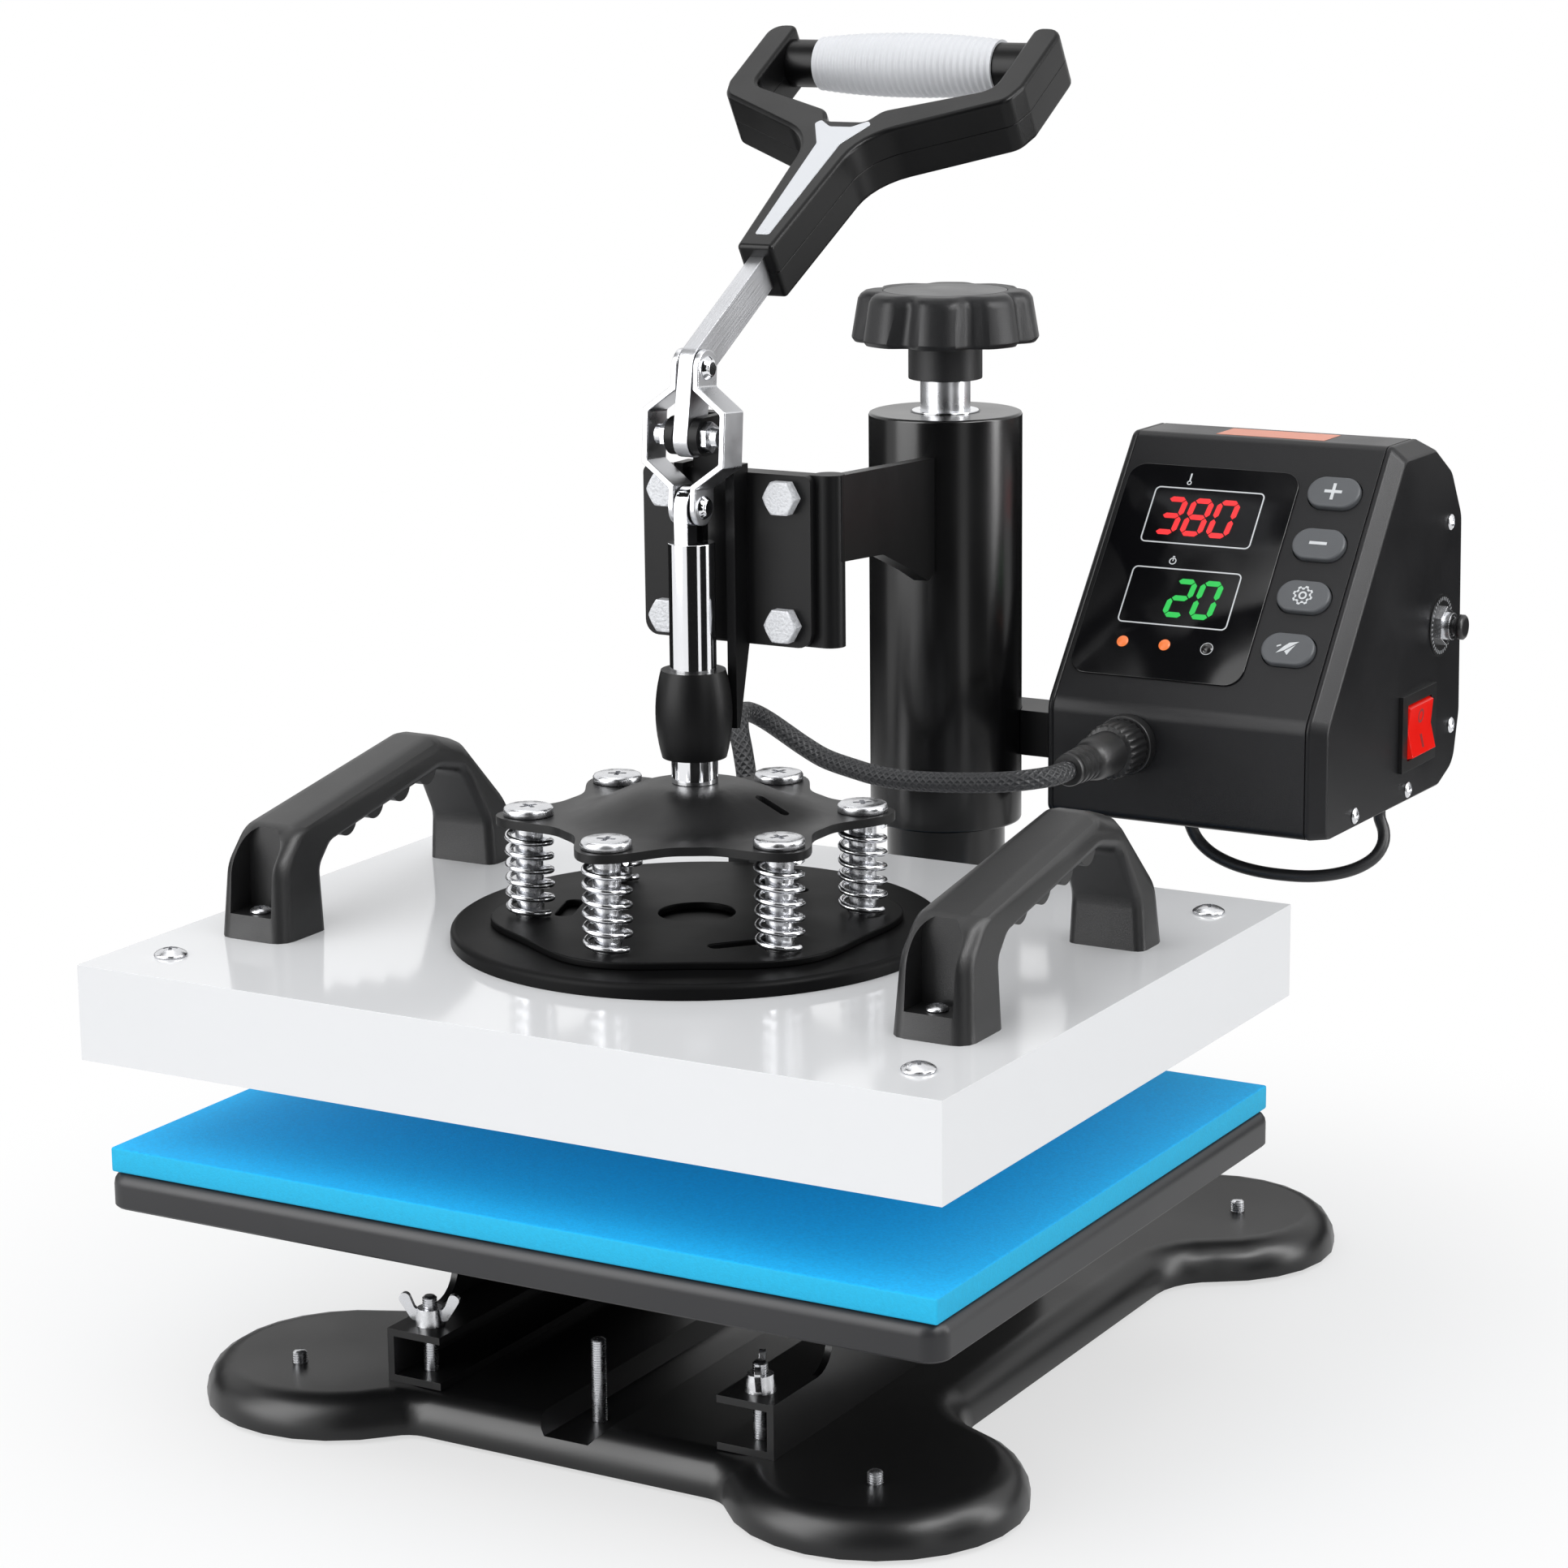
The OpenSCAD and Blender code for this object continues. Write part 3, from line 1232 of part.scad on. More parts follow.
bezel_t = 2;
rocker_pin_r = 1.6;
rocker_pin_x = -3;
rocker_pin_l = rocker_l - 8;

module rocker_pin(gap) {
    at_rocker(rocker_pin_x) rotate([90, 0, 0])
        cylinder(r = rocker_pin_r + gap, h = rocker_pin_l + 2 * gap, center = true);
}

module at_rocker(x) {
    put() translate([box_right + x, rocker_y, rocker_z]) children();
}

module rocker_bezel() {
    body_d = 18;
    color("#161616") difference() {
        union() {
            at_rocker(bezel_t / 2) cube([bezel_t, rocker_l, rocker_h], center = true);
            at_rocker(-body_d / 2) cube([body_d, rocker_l - 6, rocker_h - 6], center = true);
        }
        at_rocker(0) cube([30, rocker_l - 12, rocker_h - 9], center = true);
        rocker_pin(run_gap);
    }
}

module rocker_switch() {
    l = rocker_l - 12 - 2 * slide_gap;
    h = rocker_h - 9 - 2 * slide_gap;
    color("red") {
        at_rocker(0) rotate([90, 0, 0]) linear_extrude(l, center = true) polygon([[-6, 2 - h / 2],
            [1, 0.3 - h / 2], [4.5, 1.2 - h / 2], [2, 0], [3, h / 2 - 1.2], [1, h / 2 - 0.3],
            [-6, h / 2 - 2]]);
        rocker_pin(0);
    }
}

module at_breaker() {
    put() translate([box_right, breaker_y, breaker_z]) rotate([0, 90, 0]) children();
}

cap_r = 3.8;

module breaker_body() {
    block_d = 24;
    color("gainsboro") at_breaker() difference() {
        union() {
            translate([0, 0, -16]) cylinder(r = bush_r, h = 22);
            cylinder(r = bush_r + 2.8, h = 3.2, $fn = 6);
            translate([0, 0, -right_t - block_d / 2]) cube([14, 22, block_d], center = true);
        }
        translate([0, 0, -2]) cylinder(r = cap_r + slide_gap, h = 20);
    }
}

module breaker_button() {
    color("#111111") at_breaker() translate([0, 0, 1.8]) cylinder(r = cap_r, h = 8.6);
}

module control_board() {
    board_w = shell_w - 3;
    board_l = 100;
    post_x = window_w / 2 - 5;
    board_t = 1.6;
    depth = 14;
    color("darkgreen") {
        on_panel(shell_x, panel_l / 2)
            translate([0, 0, -depth - board_t / 2]) cube([board_w, board_l, board_t], center = true);
        for (x = [-1, 1], y = [-1, 1]) on_panel(window_x + x * post_x, panel_l / 2 + y * (board_l / 2 - 5))
            translate([0, 0, -depth]) cylinder(r = 3, h = depth - box_wall);
    }
}

module box_bracket() {
    color("#18191a") put() difference() {
        translate([0, column_y + 8, box_bottom + 24]) cube([box_left, 26, 20]);
        translate([0, column_y, 0]) cylinder(r = sleeve_r, h = 3 * sleeve_top);
    }
}

module at_plug(y) {
    put() translate([plug_x, y, plug_z]) rotate([-90, 0, 0]) children();
}

module panel_socket() {
    color("#161718") {
        at_plug(box_front - socket_t) difference() {
            union() {
                cylinder(r = 13, h = socket_t);
                cylinder(r = 7, h = socket_t + box_wall + 8);
            }
            translate([0, 0, -1]) cylinder(r = 4, h = 8);
        }
    }
}

module cable_plug() {
    sleeve = box_front - socket_t - plug_back;
    ring_h = 15;
    color("#1a1b1c") at_plug(plug_back) {
        cylinder(r1 = cable_d / 2 + 2.4, r2 = 9.5, h = sleeve * 0.5);
        translate([0, 0, sleeve * 0.5]) cylinder(r = 9.5, h = sleeve * 0.5);
        translate([0, 0, sleeve - ring_h]) cylinder(r = 12, h = ring_h);
    }
}

cord_up = [1, 0.2, 0.1];

module heater_cable() {
    color("#222326") put() sweep(heater_route, cable_d / 2, 10, cord_up);
}

module lead_loop() {
    color("#202124") put() sweep(lead_route, lead_d / 2, 8, cord_up);
}

inlet_w = 50;
inlet_h = 28;
inlet_z = box_bottom + 62;

module at_inlet() {
    put() translate([box_left + box_w / 2, box_front + box_d + inlet_t, inlet_z]) children();
}

module mains_inlet() {
    body_d = 24;
    recess = [26, 18, 18];
    color("#141414") at_inlet() difference() {
        translate([-inlet_w / 2, -body_d, -inlet_h / 2]) cube([inlet_w, body_d, inlet_h]);
        translate([-recess.x / 2, -recess.z, -recess.y / 2]) cube([recess.x, recess.z + 1, recess.y]);
    }
}

base_pan();
rubber_feet();
foot_studs();
base_studs();
support_channels();
wing_nut_left();
wing_nut_right();
lower_platen();
sponge_pad();
column_post();
thrust_collar();
pressure_spindle();
pressure_knob();
knob_cap();
swing_sleeve();
arm_bracket();
clamp_body();
flange_bolts();
pivot_pin();
lever_bar();
handle_front_half();
handle_back_half();
handle_inlay();
ribbed_grip();
toggle_links();
link_rivets();
plunger();
pressure_plate();
spring_screws();
pressure_springs();
seat_disc();
disc_plate();
heater_cover();
heating_plate();
insulation_mat();
platen_screws();
platen_handle_left();
platen_handle_right();
cable_gland();
box_shell();
box_side_left();
box_side_right();
box_screws();
display_window();
status_lights();
button_plus();
button_minus();
button_set();
button_start();
rocker_bezel();
rocker_switch();
breaker_body();
breaker_button();
control_board();
box_bracket();
panel_socket();
cable_plug();
heater_cable();
lead_loop();
mains_inlet();
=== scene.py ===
import json
from math import cos, pi, radians, sin

import bmesh
import bpy
from mathutils import Matrix, Vector
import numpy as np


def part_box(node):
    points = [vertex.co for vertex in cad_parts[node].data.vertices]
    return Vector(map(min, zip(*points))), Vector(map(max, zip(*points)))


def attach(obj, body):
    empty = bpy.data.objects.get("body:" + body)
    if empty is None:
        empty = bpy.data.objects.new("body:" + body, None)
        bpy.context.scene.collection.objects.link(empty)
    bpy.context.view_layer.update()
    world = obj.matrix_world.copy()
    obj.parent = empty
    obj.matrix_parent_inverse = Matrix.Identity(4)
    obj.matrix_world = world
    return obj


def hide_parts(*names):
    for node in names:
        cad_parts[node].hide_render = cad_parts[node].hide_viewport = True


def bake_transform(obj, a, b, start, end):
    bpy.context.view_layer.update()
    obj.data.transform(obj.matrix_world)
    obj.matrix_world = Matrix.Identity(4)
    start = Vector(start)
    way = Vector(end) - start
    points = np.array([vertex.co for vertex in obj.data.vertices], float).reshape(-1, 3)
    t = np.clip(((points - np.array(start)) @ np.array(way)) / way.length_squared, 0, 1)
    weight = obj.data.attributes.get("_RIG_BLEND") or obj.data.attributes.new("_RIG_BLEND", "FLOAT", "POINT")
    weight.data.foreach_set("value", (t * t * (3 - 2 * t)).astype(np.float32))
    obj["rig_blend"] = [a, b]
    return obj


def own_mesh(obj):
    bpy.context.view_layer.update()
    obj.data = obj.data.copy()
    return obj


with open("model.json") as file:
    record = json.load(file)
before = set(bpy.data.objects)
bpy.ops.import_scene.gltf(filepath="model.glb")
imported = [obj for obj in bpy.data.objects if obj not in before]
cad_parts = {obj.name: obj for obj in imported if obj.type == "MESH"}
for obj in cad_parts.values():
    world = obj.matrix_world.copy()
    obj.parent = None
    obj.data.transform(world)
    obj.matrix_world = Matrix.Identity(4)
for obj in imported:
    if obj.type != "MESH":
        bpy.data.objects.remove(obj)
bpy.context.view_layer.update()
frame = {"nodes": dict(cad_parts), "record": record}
scene = bpy.context.scene
scene.view_settings.view_transform = "Standard"

# Viewpoint of the product picture: a long lens a little above the platen,
# turned thirty degrees to the right of the machine's front.
swing, height, lean = radians(30.0), radians(12.8), radians(-0.6)
back = Vector((sin(swing) * cos(height), -cos(swing) * cos(height), sin(height)))
level_right = Vector((cos(swing), sin(swing), 0))
level_up = back.cross(level_right)
right = level_right * cos(lean) + level_up * sin(lean)
up = level_up * cos(lean) - level_right * sin(lean)
lens = bpy.data.cameras.new("picture_lens")
lens.lens = 94.11
lens.sensor_width = 36
lens.clip_end = 300
camera = bpy.data.objects.new("picture_camera", lens)
scene.collection.objects.link(camera)
lens_place = Vector((0.8192, -1.45995, 0.6092))
camera.matrix_world = Matrix.Translation(lens_place) @ Matrix((right, up, back)).transposed().to_4x4()
scene.camera = camera

# Studio: a white paper sweep under an even sky, with soft suns from the upper left, the right and above.
# Strip boxes, a card and flags stand round the machine for its glossy pieces alone.
studio = bpy.data.worlds.new("studio")
scene.world = studio
studio.use_nodes = True
sky = studio.node_tree
sky.nodes.clear()


def wire(tree, start, way_out, end, way_in):
    """Links one node's output to another node's input"""
    tree.links.new(start.outputs[way_out], end.inputs[way_in])


def preset(node, values):
    """Sets a node's inputs by their labels"""
    for label, value in values.items():
        node.inputs[label].default_value = value


def sum_of(tree, operation, a, b=None):
    """One arithmetic step between sockets or plain numbers"""
    node = tree.nodes.new("ShaderNodeMath")
    node.operation = operation
    for socket, value in zip(node.inputs, (a, b)):
        if isinstance(value, (int, float)):
            socket.default_value = value
        elif value is not None:
            tree.links.new(value, socket)
    return node.outputs[0]


def seen_directly(tree):
    """Mask of camera, mirror and glass rays, to which the sweep is plain white"""
    path = tree.nodes.new("ShaderNodeLightPath")
    mask = path.outputs["Is Camera Ray"]
    for name in ("Is Glossy Ray", "Is Transmission Ray"):
        mask = sum_of(tree, "MAXIMUM", mask, path.outputs[name])
    return mask


fill = sky.nodes.new("ShaderNodeBackground")
preset(fill, {"Color": (0.96, 0.98, 1, 1), "Strength": 0.72})
white = sky.nodes.new("ShaderNodeBackground")
preset(white, {"Strength": 1.0, "Color": (1, 1, 1, 1)})
sky_mix = sky.nodes.new("ShaderNodeMixShader")
sky_out = sky.nodes.new("ShaderNodeOutputWorld")
sky.links.new(seen_directly(sky), sky_mix.inputs[0])
wire(sky, fill, 0, sky_mix, 1)
wire(sky, white, 0, sky_mix, 2)
wire(sky, sky_mix, 0, sky_out, 0)


def lamp(name, kind, place, aim, power, gloss_only=False, **more):
    """A studio lamp aimed at a point, for every surface or for gloss alone"""
    data = bpy.data.lights.new(name, kind)
    data.energy = power
    for key, value in more.items():
        setattr(data, key, value)
    thing = bpy.data.objects.new(name, data)
    scene.collection.objects.link(thing)
    thing.location = place
    thing.rotation_euler = (Vector(aim) - Vector(place)).to_track_quat("-Z", "Y").to_euler()
    thing.visible_diffuse = not gloss_only
    return thing


def round_the_machine(turn, reach, rise):
    """A point seen from the machine at a turn to the right of its front"""
    return Vector((sin(radians(turn)) * reach, -cos(radians(turn)) * reach, rise))


lamp("soft_sun", "SUN", (-0.9, -1.6, 1.5), (0, 0, 0.2), 0.6, angle=radians(50))
lamp("right_sun", "SUN", (1.8, -0.5, 1.1), (0, 0, 0.2), 0.45, angle=radians(70))
lamp("top_sun", "SUN", (-0.3, -0.4, 2.0), (0, 0, 0.2), 0.55, angle=radians(70))
for name, turn, reach, rise, aim, power, wide, tall in (
        ("left_strip", -33, 1.1, 0.7, (0, 0, 0.3), 15, 0.9, 1.2),
        ("right_strip", 112, 1.1, 0.7, (0, 0, 0.3), 9, 0.24, 1.2),
        ("right_box", 78, 1.5, 1.4, (0.15, 0.2, 0.3), 26, 0.8, 0.8),
        ("top_box", 240, 1.1, 1.97, (0.05, 0.1, 0.4), 3.2, 0.7, 0.9)):
    lamp(name, "AREA", round_the_machine(turn, reach, rise), aim, power, gloss_only=True,
         shape="RECTANGLE", size=wide, size_y=tall)


def blank(name):
    """A new material with its tree and its shader"""
    material = bpy.data.materials.new(name)
    material.use_nodes = True
    return material, material.node_tree, material.node_tree.nodes["Principled BSDF"]


paper, sweep, sweep_matt = blank("sweep_paper")
preset(sweep_matt, {"Base Color": (0.88, 0.88, 0.88, 1), "Roughness": 0.9, "Specular IOR Level": 0})
sweep_glow = sweep.nodes.new("ShaderNodeEmission")
sweep_place = sweep.nodes.new("ShaderNodeTexCoord")
sweep_far = sweep.nodes.new("ShaderNodeVectorMath")
sweep_far.operation = "LENGTH"
sweep_fade = sweep.nodes.new("ShaderNodeMapRange")
sweep_fade.interpolation_type = "SMOOTHSTEP"
preset(sweep_fade, {"From Min": 0.22, "From Max": 0.5, "To Min": 0.62})
sweep_mix = sweep.nodes.new("ShaderNodeMixShader")
wire(sweep, sweep_place, "Object", sweep_far, 0)
wire(sweep, sweep_far, "Value", sweep_fade, "Value")
sweep_white = sum_of(sweep, "MULTIPLY", sweep_fade.outputs["Result"], seen_directly(sweep))
sweep.links.new(sweep_white, sweep_mix.inputs[0])
wire(sweep, sweep_matt, 0, sweep_mix, 1)
wire(sweep, sweep_glow, 0, sweep_mix, 2)
wire(sweep, sweep_mix, 0, sweep.nodes["Material Output"], 0)


def sheet_of(name, corners, faces, material):
    """A plain sheet that belongs to the studio"""
    mesh = bpy.data.meshes.new(name)
    mesh.from_pydata(corners, [], faces)
    mesh.materials.append(material)
    thing = bpy.data.objects.new(name, mesh)
    scene.collection.objects.link(thing)
    return thing


sheet_of("sweep", [(-60, -60, 0), (60, -60, 0), (60, 60, 0), (-60, 60, 0)], [(0, 1, 2, 3)], paper)
flag_black, card_white, steps = 0.012, 1.0, 12
for name, first, last, lower_rim, upper_rim, shade in (
        ("front_right_flag", 7, 52, (1.0, 0.002), (1.0, 0.9), flag_black),
        ("right_flag", 66, 100, (1.0, 0.002), (1.0, 0.9), flag_black),
        ("rear_flag", 125, 284, (1.0, 0.002), (1.0, 0.3), flag_black),
        ("rear_card", 125, 284, (1.6, 0.3), (1.6, 1.7), card_white),
        ("upper_right_flag", 7, 60, (2.0, 1.1), (2.0, 4.2), flag_black),
        ("upper_left_flag", -128, -46, (2.0, 0.9), (2.0, 4.2), flag_black)):
    card, _, shader = blank(name)
    preset(shader, {"Base Color": (0, 0, 0, 1), "Specular IOR Level": 0,
                    "Emission Color": (shade, shade, shade, 1), "Emission Strength": 1})
    turns = [first + (last - first) * k / steps for k in range(steps + 1)]
    corners = [round_the_machine(t, *rim) for rim in (lower_rim, upper_rim) for t in turns]
    faces = [(k, k + 1, k + steps + 2, k + steps + 1) for k in range(steps)]
    flag = sheet_of(name, corners, faces, card)
    flag.visible_camera = False
    flag.visible_diffuse = False
    flag.visible_shadow = False
    flag.visible_transmission = False

# Heater cable: a braided, heat-proof flex that leaves the gland on the cover, arches over
# and runs back to its plug on the control box. It is held at both ends only.
body_of = {n: body for body, members in frame["record"]["behaviour"]["bodies"].items() for n in members}
mm, ram_ahead = 0.001, 111.25


def at(x, y, z):
    """A point given in millimetres from the ram's axis and the floor"""
    return Vector((x, y - ram_ahead, z)) * mm


def seat(piece, node):
    """Lets a finished piece stand for its solid and move with that solid's body"""
    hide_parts(node)
    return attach(piece, body_of[node])


def smooth_route(points, step, fineness=24):
    """Even points along the smooth curve through the given ones"""
    fine = []
    for i in range(len(points) - 1):
        p0, p1 = points[max(i - 1, 0)], points[i]
        p2, p3 = points[i + 1], points[min(i + 2, len(points) - 1)]
        for k in range(fineness):
            t = k / fineness
            fine.append(0.5 * (2 * p1 + (p2 - p0) * t + (2 * p0 - 5 * p1 + 4 * p2 - p3) * t * t
                               + (3 * p1 - 3 * p2 + p3 - p0) * t ** 3))
    fine.append(points[-1].copy())
    run = [0.0]
    for a, b in zip(fine, fine[1:]):
        run.append(run[-1] + (b - a).length)
    count = max(2, round(run[-1] / step))
    even, k = [], 0
    for i in range(count + 1):
        want = run[-1] * i / count
        while k < len(run) - 2 and run[k + 1] < want:
            k += 1
        even.append(fine[k].lerp(fine[k + 1], (want - run[k]) / max(run[k + 1] - run[k], 1e-12)))
    return even, run[-1]


def piece_of(name, build, *materials):
    """A piece in the scene from a built mesh and its materials"""
    mesh = bpy.data.meshes.new(name)
    build.to_mesh(mesh)
    build.free()
    for material in materials:
        mesh.materials.append(material)
    piece = bpy.data.objects.new(name, mesh)
    scene.collection.objects.link(piece)
    return piece


def flex(name, points, radius, sides, material, step=0.002):
    """Round cord along a route, with a map of turns round and metres along"""
    path, length = smooth_route(points, step)
    build = bmesh.new()
    wrap = build.loops.layers.uv.new("wrap")
    side = Vector((1, 0.2, 0.1))
    rings = []
    for i, p in enumerate(path):
        way = (path[min(i + 1, len(path) - 1)] - path[max(i - 1, 0)]).normalized()
        side = (side - way * side.dot(way)).normalized()
        other = way.cross(side)
        rings.append([build.verts.new(p + radius * (side * cos(2 * pi * k / sides)
                                                    + other * sin(2 * pi * k / sides)))
                      for k in range(sides)])
    for i in range(len(rings) - 1):
        for k in range(sides):
            j = (k + 1) % sides
            face = build.faces.new((rings[i][k], rings[i][j], rings[i + 1][j], rings[i + 1][k]))
            face.smooth = True
            marks = ((k, i), (k + 1, i), (k + 1, i + 1), (k, i + 1))
            for loop, (turn, ring) in zip(face.loops, marks):
                loop[wrap].uv = (turn / sides, length * ring / (len(rings) - 1))
    build.faces.new(rings[0][::-1])
    build.faces.new(rings[-1])
    return piece_of(name, build, material), path, length


def group_of(name, inputs, outputs):
    """An empty shader group with its named sockets"""
    tree = bpy.data.node_groups.new(name, "ShaderNodeTree")
    for socket in inputs:
        tree.interface.new_socket(socket, in_out="INPUT", socket_type="NodeSocketFloat")
    for socket in outputs:
        tree.interface.new_socket(socket, in_out="OUTPUT", socket_type="NodeSocketFloat")
    return tree, tree.nodes.new("NodeGroupInput"), tree.nodes.new("NodeGroupOutput")


braid, braid_in, braid_out = group_of("braid", ("Strands", "Pitch"), ("Height", "Thread"))
braid_uv = braid.nodes.new("ShaderNodeUVMap")
braid_uv.uv_map = "wrap"
braid_split = braid.nodes.new("ShaderNodeSeparateXYZ")
wire(braid, braid_uv, 0, braid_split, 0)
full_turn = 6.2832
turns = sum_of(braid, "MULTIPLY", braid_split.outputs[0], braid_in.outputs["Strands"])
along = sum_of(braid, "MULTIPLY", braid_split.outputs[1], braid_in.outputs["Pitch"])
lays = []
for lay in ("ADD", "SUBTRACT"):
    phase = sum_of(braid, "MULTIPLY", sum_of(braid, lay, turns, along), full_turn)
    lays.append(sum_of(braid, "SINE", phase))
threads = sum_of(braid, "MULTIPLY_ADD", sum_of(braid, "MULTIPLY", *lays), 0.5)
braid.links.new(sum_of(braid, "MAXIMUM", *lays), braid_out.inputs["Height"])
braid.links.new(threads, braid_out.inputs["Thread"])

surface_grain, grain_in, grain_out = group_of("surface_grain", ("Fine", "Broad"), ("Height", "Mottle"))
grain_place = surface_grain.nodes.new("ShaderNodeTexCoord")
for size, socket, detail in (("Fine", "Height", 2.0), ("Broad", "Mottle", 4.0)):
    noise = surface_grain.nodes.new("ShaderNodeTexNoise")
    noise.inputs["Detail"].default_value = detail
    wire(surface_grain, grain_place, "Object", noise, "Vector")
    wire(surface_grain, grain_in, size, noise, "Scale")
    wire(surface_grain, noise, "Fac", grain_out, socket)


def from_screen(r, g, b):
    """Linear colour of a screen colour"""
    return tuple(((c / 255 + 0.055) / 1.055) ** 2.4 if c > 10 else c / 3294.6 for c in (r, g, b)) + (1,)


grain_depth = 0.0004


def finish(name, colour, rough, metal=0.0, fine=1400, broad=40, bump=0.05, drift=0.15, spread=0.04,
           level=0.5):
    """A surface with a fine grain in its height and a slow drift in colour and gloss"""
    material, tree, shader = blank(name)
    preset(shader, {"Metallic": metal, "Specular IOR Level": level})
    grain = tree.nodes.new("ShaderNodeGroup")
    grain.node_tree = surface_grain
    preset(grain, {"Fine": fine, "Broad": broad})
    tint = tree.nodes.new("ShaderNodeMix")
    tint.data_type = "RGBA"
    tint.inputs[6].default_value = tuple(c * (1 - drift) for c in colour[:3]) + (1,)
    tint.inputs[7].default_value = tuple(min(1, c * (1 + drift)) for c in colour[:3]) + (1,)
    wire(tree, grain, "Mottle", tint, 0)
    wire(tree, tint, 2, shader, "Base Color")
    gloss = tree.nodes.new("ShaderNodeMapRange")
    preset(gloss, {"From Min": 0.3, "From Max": 0.7, "To Min": max(0.02, rough - spread),
                   "To Max": rough + spread})
    wire(tree, grain, "Mottle", gloss, "Value")
    wire(tree, gloss, "Result", shader, "Roughness")
    relief = tree.nodes.new("ShaderNodeBump")
    preset(relief, {"Strength": bump, "Distance": grain_depth})
    wire(tree, grain, "Height", relief, "Height")
    wire(tree, relief, "Normal", shader, "Normal")
    return material


def patterned(material, group, shade, strength, distance, **sizes):
    """Lays a pattern on a finish: its height on the relief and its shade on the tint"""
    tree = material.node_tree
    pattern = tree.nodes.new("ShaderNodeGroup")
    pattern.node_tree = group
    preset(pattern, sizes)
    relief = next(n for n in tree.nodes if n.type == "BUMP")
    preset(relief, {"Strength": strength, "Distance": distance})
    tint = next(n for n in tree.nodes if n.type == "MIX")
    wire(tree, pattern, "Height", relief, "Height")
    wire(tree, pattern, shade, tint, 0)


braided = finish("braided_flex", from_screen(46, 47, 50), 0.5, bump=0.1)
patterned(braided, braid, "Thread", strength=0.8, distance=0.0005, Strands=8, Pitch=300)

gland_top, plug_face = at(-37, 104, 206), at(89, 152, 235.5)
over_gland = [(0, 0, 0), (0, 0, 12), (-0.8, 0, 24), (-3, 1, 34), (-6.5, 4, 42), (-9.5, 9.5, 46.5),
              (-10.5, 16, 47.5), (-9, 22, 45.5), (-5, 27, 41.5), (1.5, 30, 36.5), (9.5, 31.5, 31.5),
              (20, 31.5, 27)]
to_plug = [(-91, -18.5, -5), (-78, -20, -6.5), (-63, -21.5, -6.5), (-48, -22.5, -5.5), (-33, -23.2, -4),
           (-18, -23, -2.2), (-9, -20.8, -0.9), (-2.4, -14.6, -0.2), (0, -6.5, 0), (0, 0, 0)]
cable_r = 0.0043
cable_run = [gland_top + Vector(p) * mm for p in over_gland]
cable_run += [plug_face + Vector(p) * mm for p in to_plug]
cable, cable_path, cable_length = flex("heater_flex", cable_run, cable_r, sides=20, material=braided)
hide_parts("heater_cable")
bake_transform(cable, "arm", "ram", start=plug_face, end=gland_top)

# Short lead: a rubber flex that hangs in one loop under the control box,
# with both ends in grommets in the box's floor.
lead_rubber = finish("lead_rubber", from_screen(40, 40, 42), 0.42, fine=900, bump=0.04)
box_corner = at(50, 212, 199)
hang = [(34, 73, -3.5), (34, 73, -9), (35.5, 73.2, -15.5), (39, 73.8, -22), (45.5, 74.5, -27.5),
        (55, 75.5, -31.5), (66, 77, -33.8), (78, 79, -34.7), (90, 81.5, -34.5), (100.8, 84.5, -32.8),
        (109.5, 88, -29.8), (115.4, 92.5, -25.5), (117.8, 96.5, -20), (117, 99.2, -14.5),
        (114.6, 100, -9), (114.6, 100, -3.5)]
lead_r = 0.00275
lead_run = [box_corner + Vector(p) * mm for p in hang]
lead, lead_path, lead_length = flex("loop_lead", lead_run, lead_r, sides=16, material=lead_rubber)
seat(lead, "lead_loop")

# Base pan: one sheet-steel pressing in black powder coat, with four lobed corners,
# a rolled edge and a trough down the middle. Rubber feet are screwed up under the lobes.
black_powder = finish("black_powder_coat", from_screen(18, 18, 19), 0.34, fine=2200, broad=18,
                      bump=0.06, level=0.42)
weld_gap, flat_within = 2e-6, radians(0.8)


def copy_of(node):
    """Merged copy of a solid's loose triangles"""
    build = bmesh.new()
    build.from_mesh(frame["nodes"][node].data)
    bmesh.ops.remove_doubles(build, verts=build.verts, dist=weld_gap)
    return build


def skin_of(node, build, material):
    """A piece of one material from a solid's copy"""
    piece = piece_of(node + "_skin", build)
    for layer in [a for a in piece.data.attributes if a.name == "custom_normal"]:
        piece.data.attributes.remove(layer)
    piece.data.materials.clear()
    piece.data.materials.append(material)
    for face in piece.data.polygons:
        face.material_index = 0
    return piece


def bake(piece):
    """Turns a piece's modifiers into its plain mesh"""
    shaped = bpy.data.meshes.new_from_object(piece.evaluated_get(bpy.context.evaluated_depsgraph_get()))
    piece.modifiers.clear()
    piece.data = shaped


def smooth(piece, keep):
    """Smooth shading with the edges over an angle kept sharp"""
    piece.data.shade_smooth()
    piece.data.set_sharp_from_angle(angle=radians(keep))


def carve(piece, tool, operation="DIFFERENCE"):
    """Cuts a piece with a closed tool, which is used up"""
    knife = piece.modifiers.new("cut", "BOOLEAN")
    knife.operation = operation
    knife.solver = "EXACT"
    knife.use_self = True
    knife.object = tool
    bake(piece)
    bpy.data.objects.remove(tool)
    smooth(piece, 50)


def level_faces(piece, weight):
    """Lets the flat faces keep their own normals beside the rounded edges"""
    normals = piece.modifiers.new("level", "WEIGHTED_NORMAL")
    normals.keep_sharp = True
    normals.weight = weight
    bake(piece)


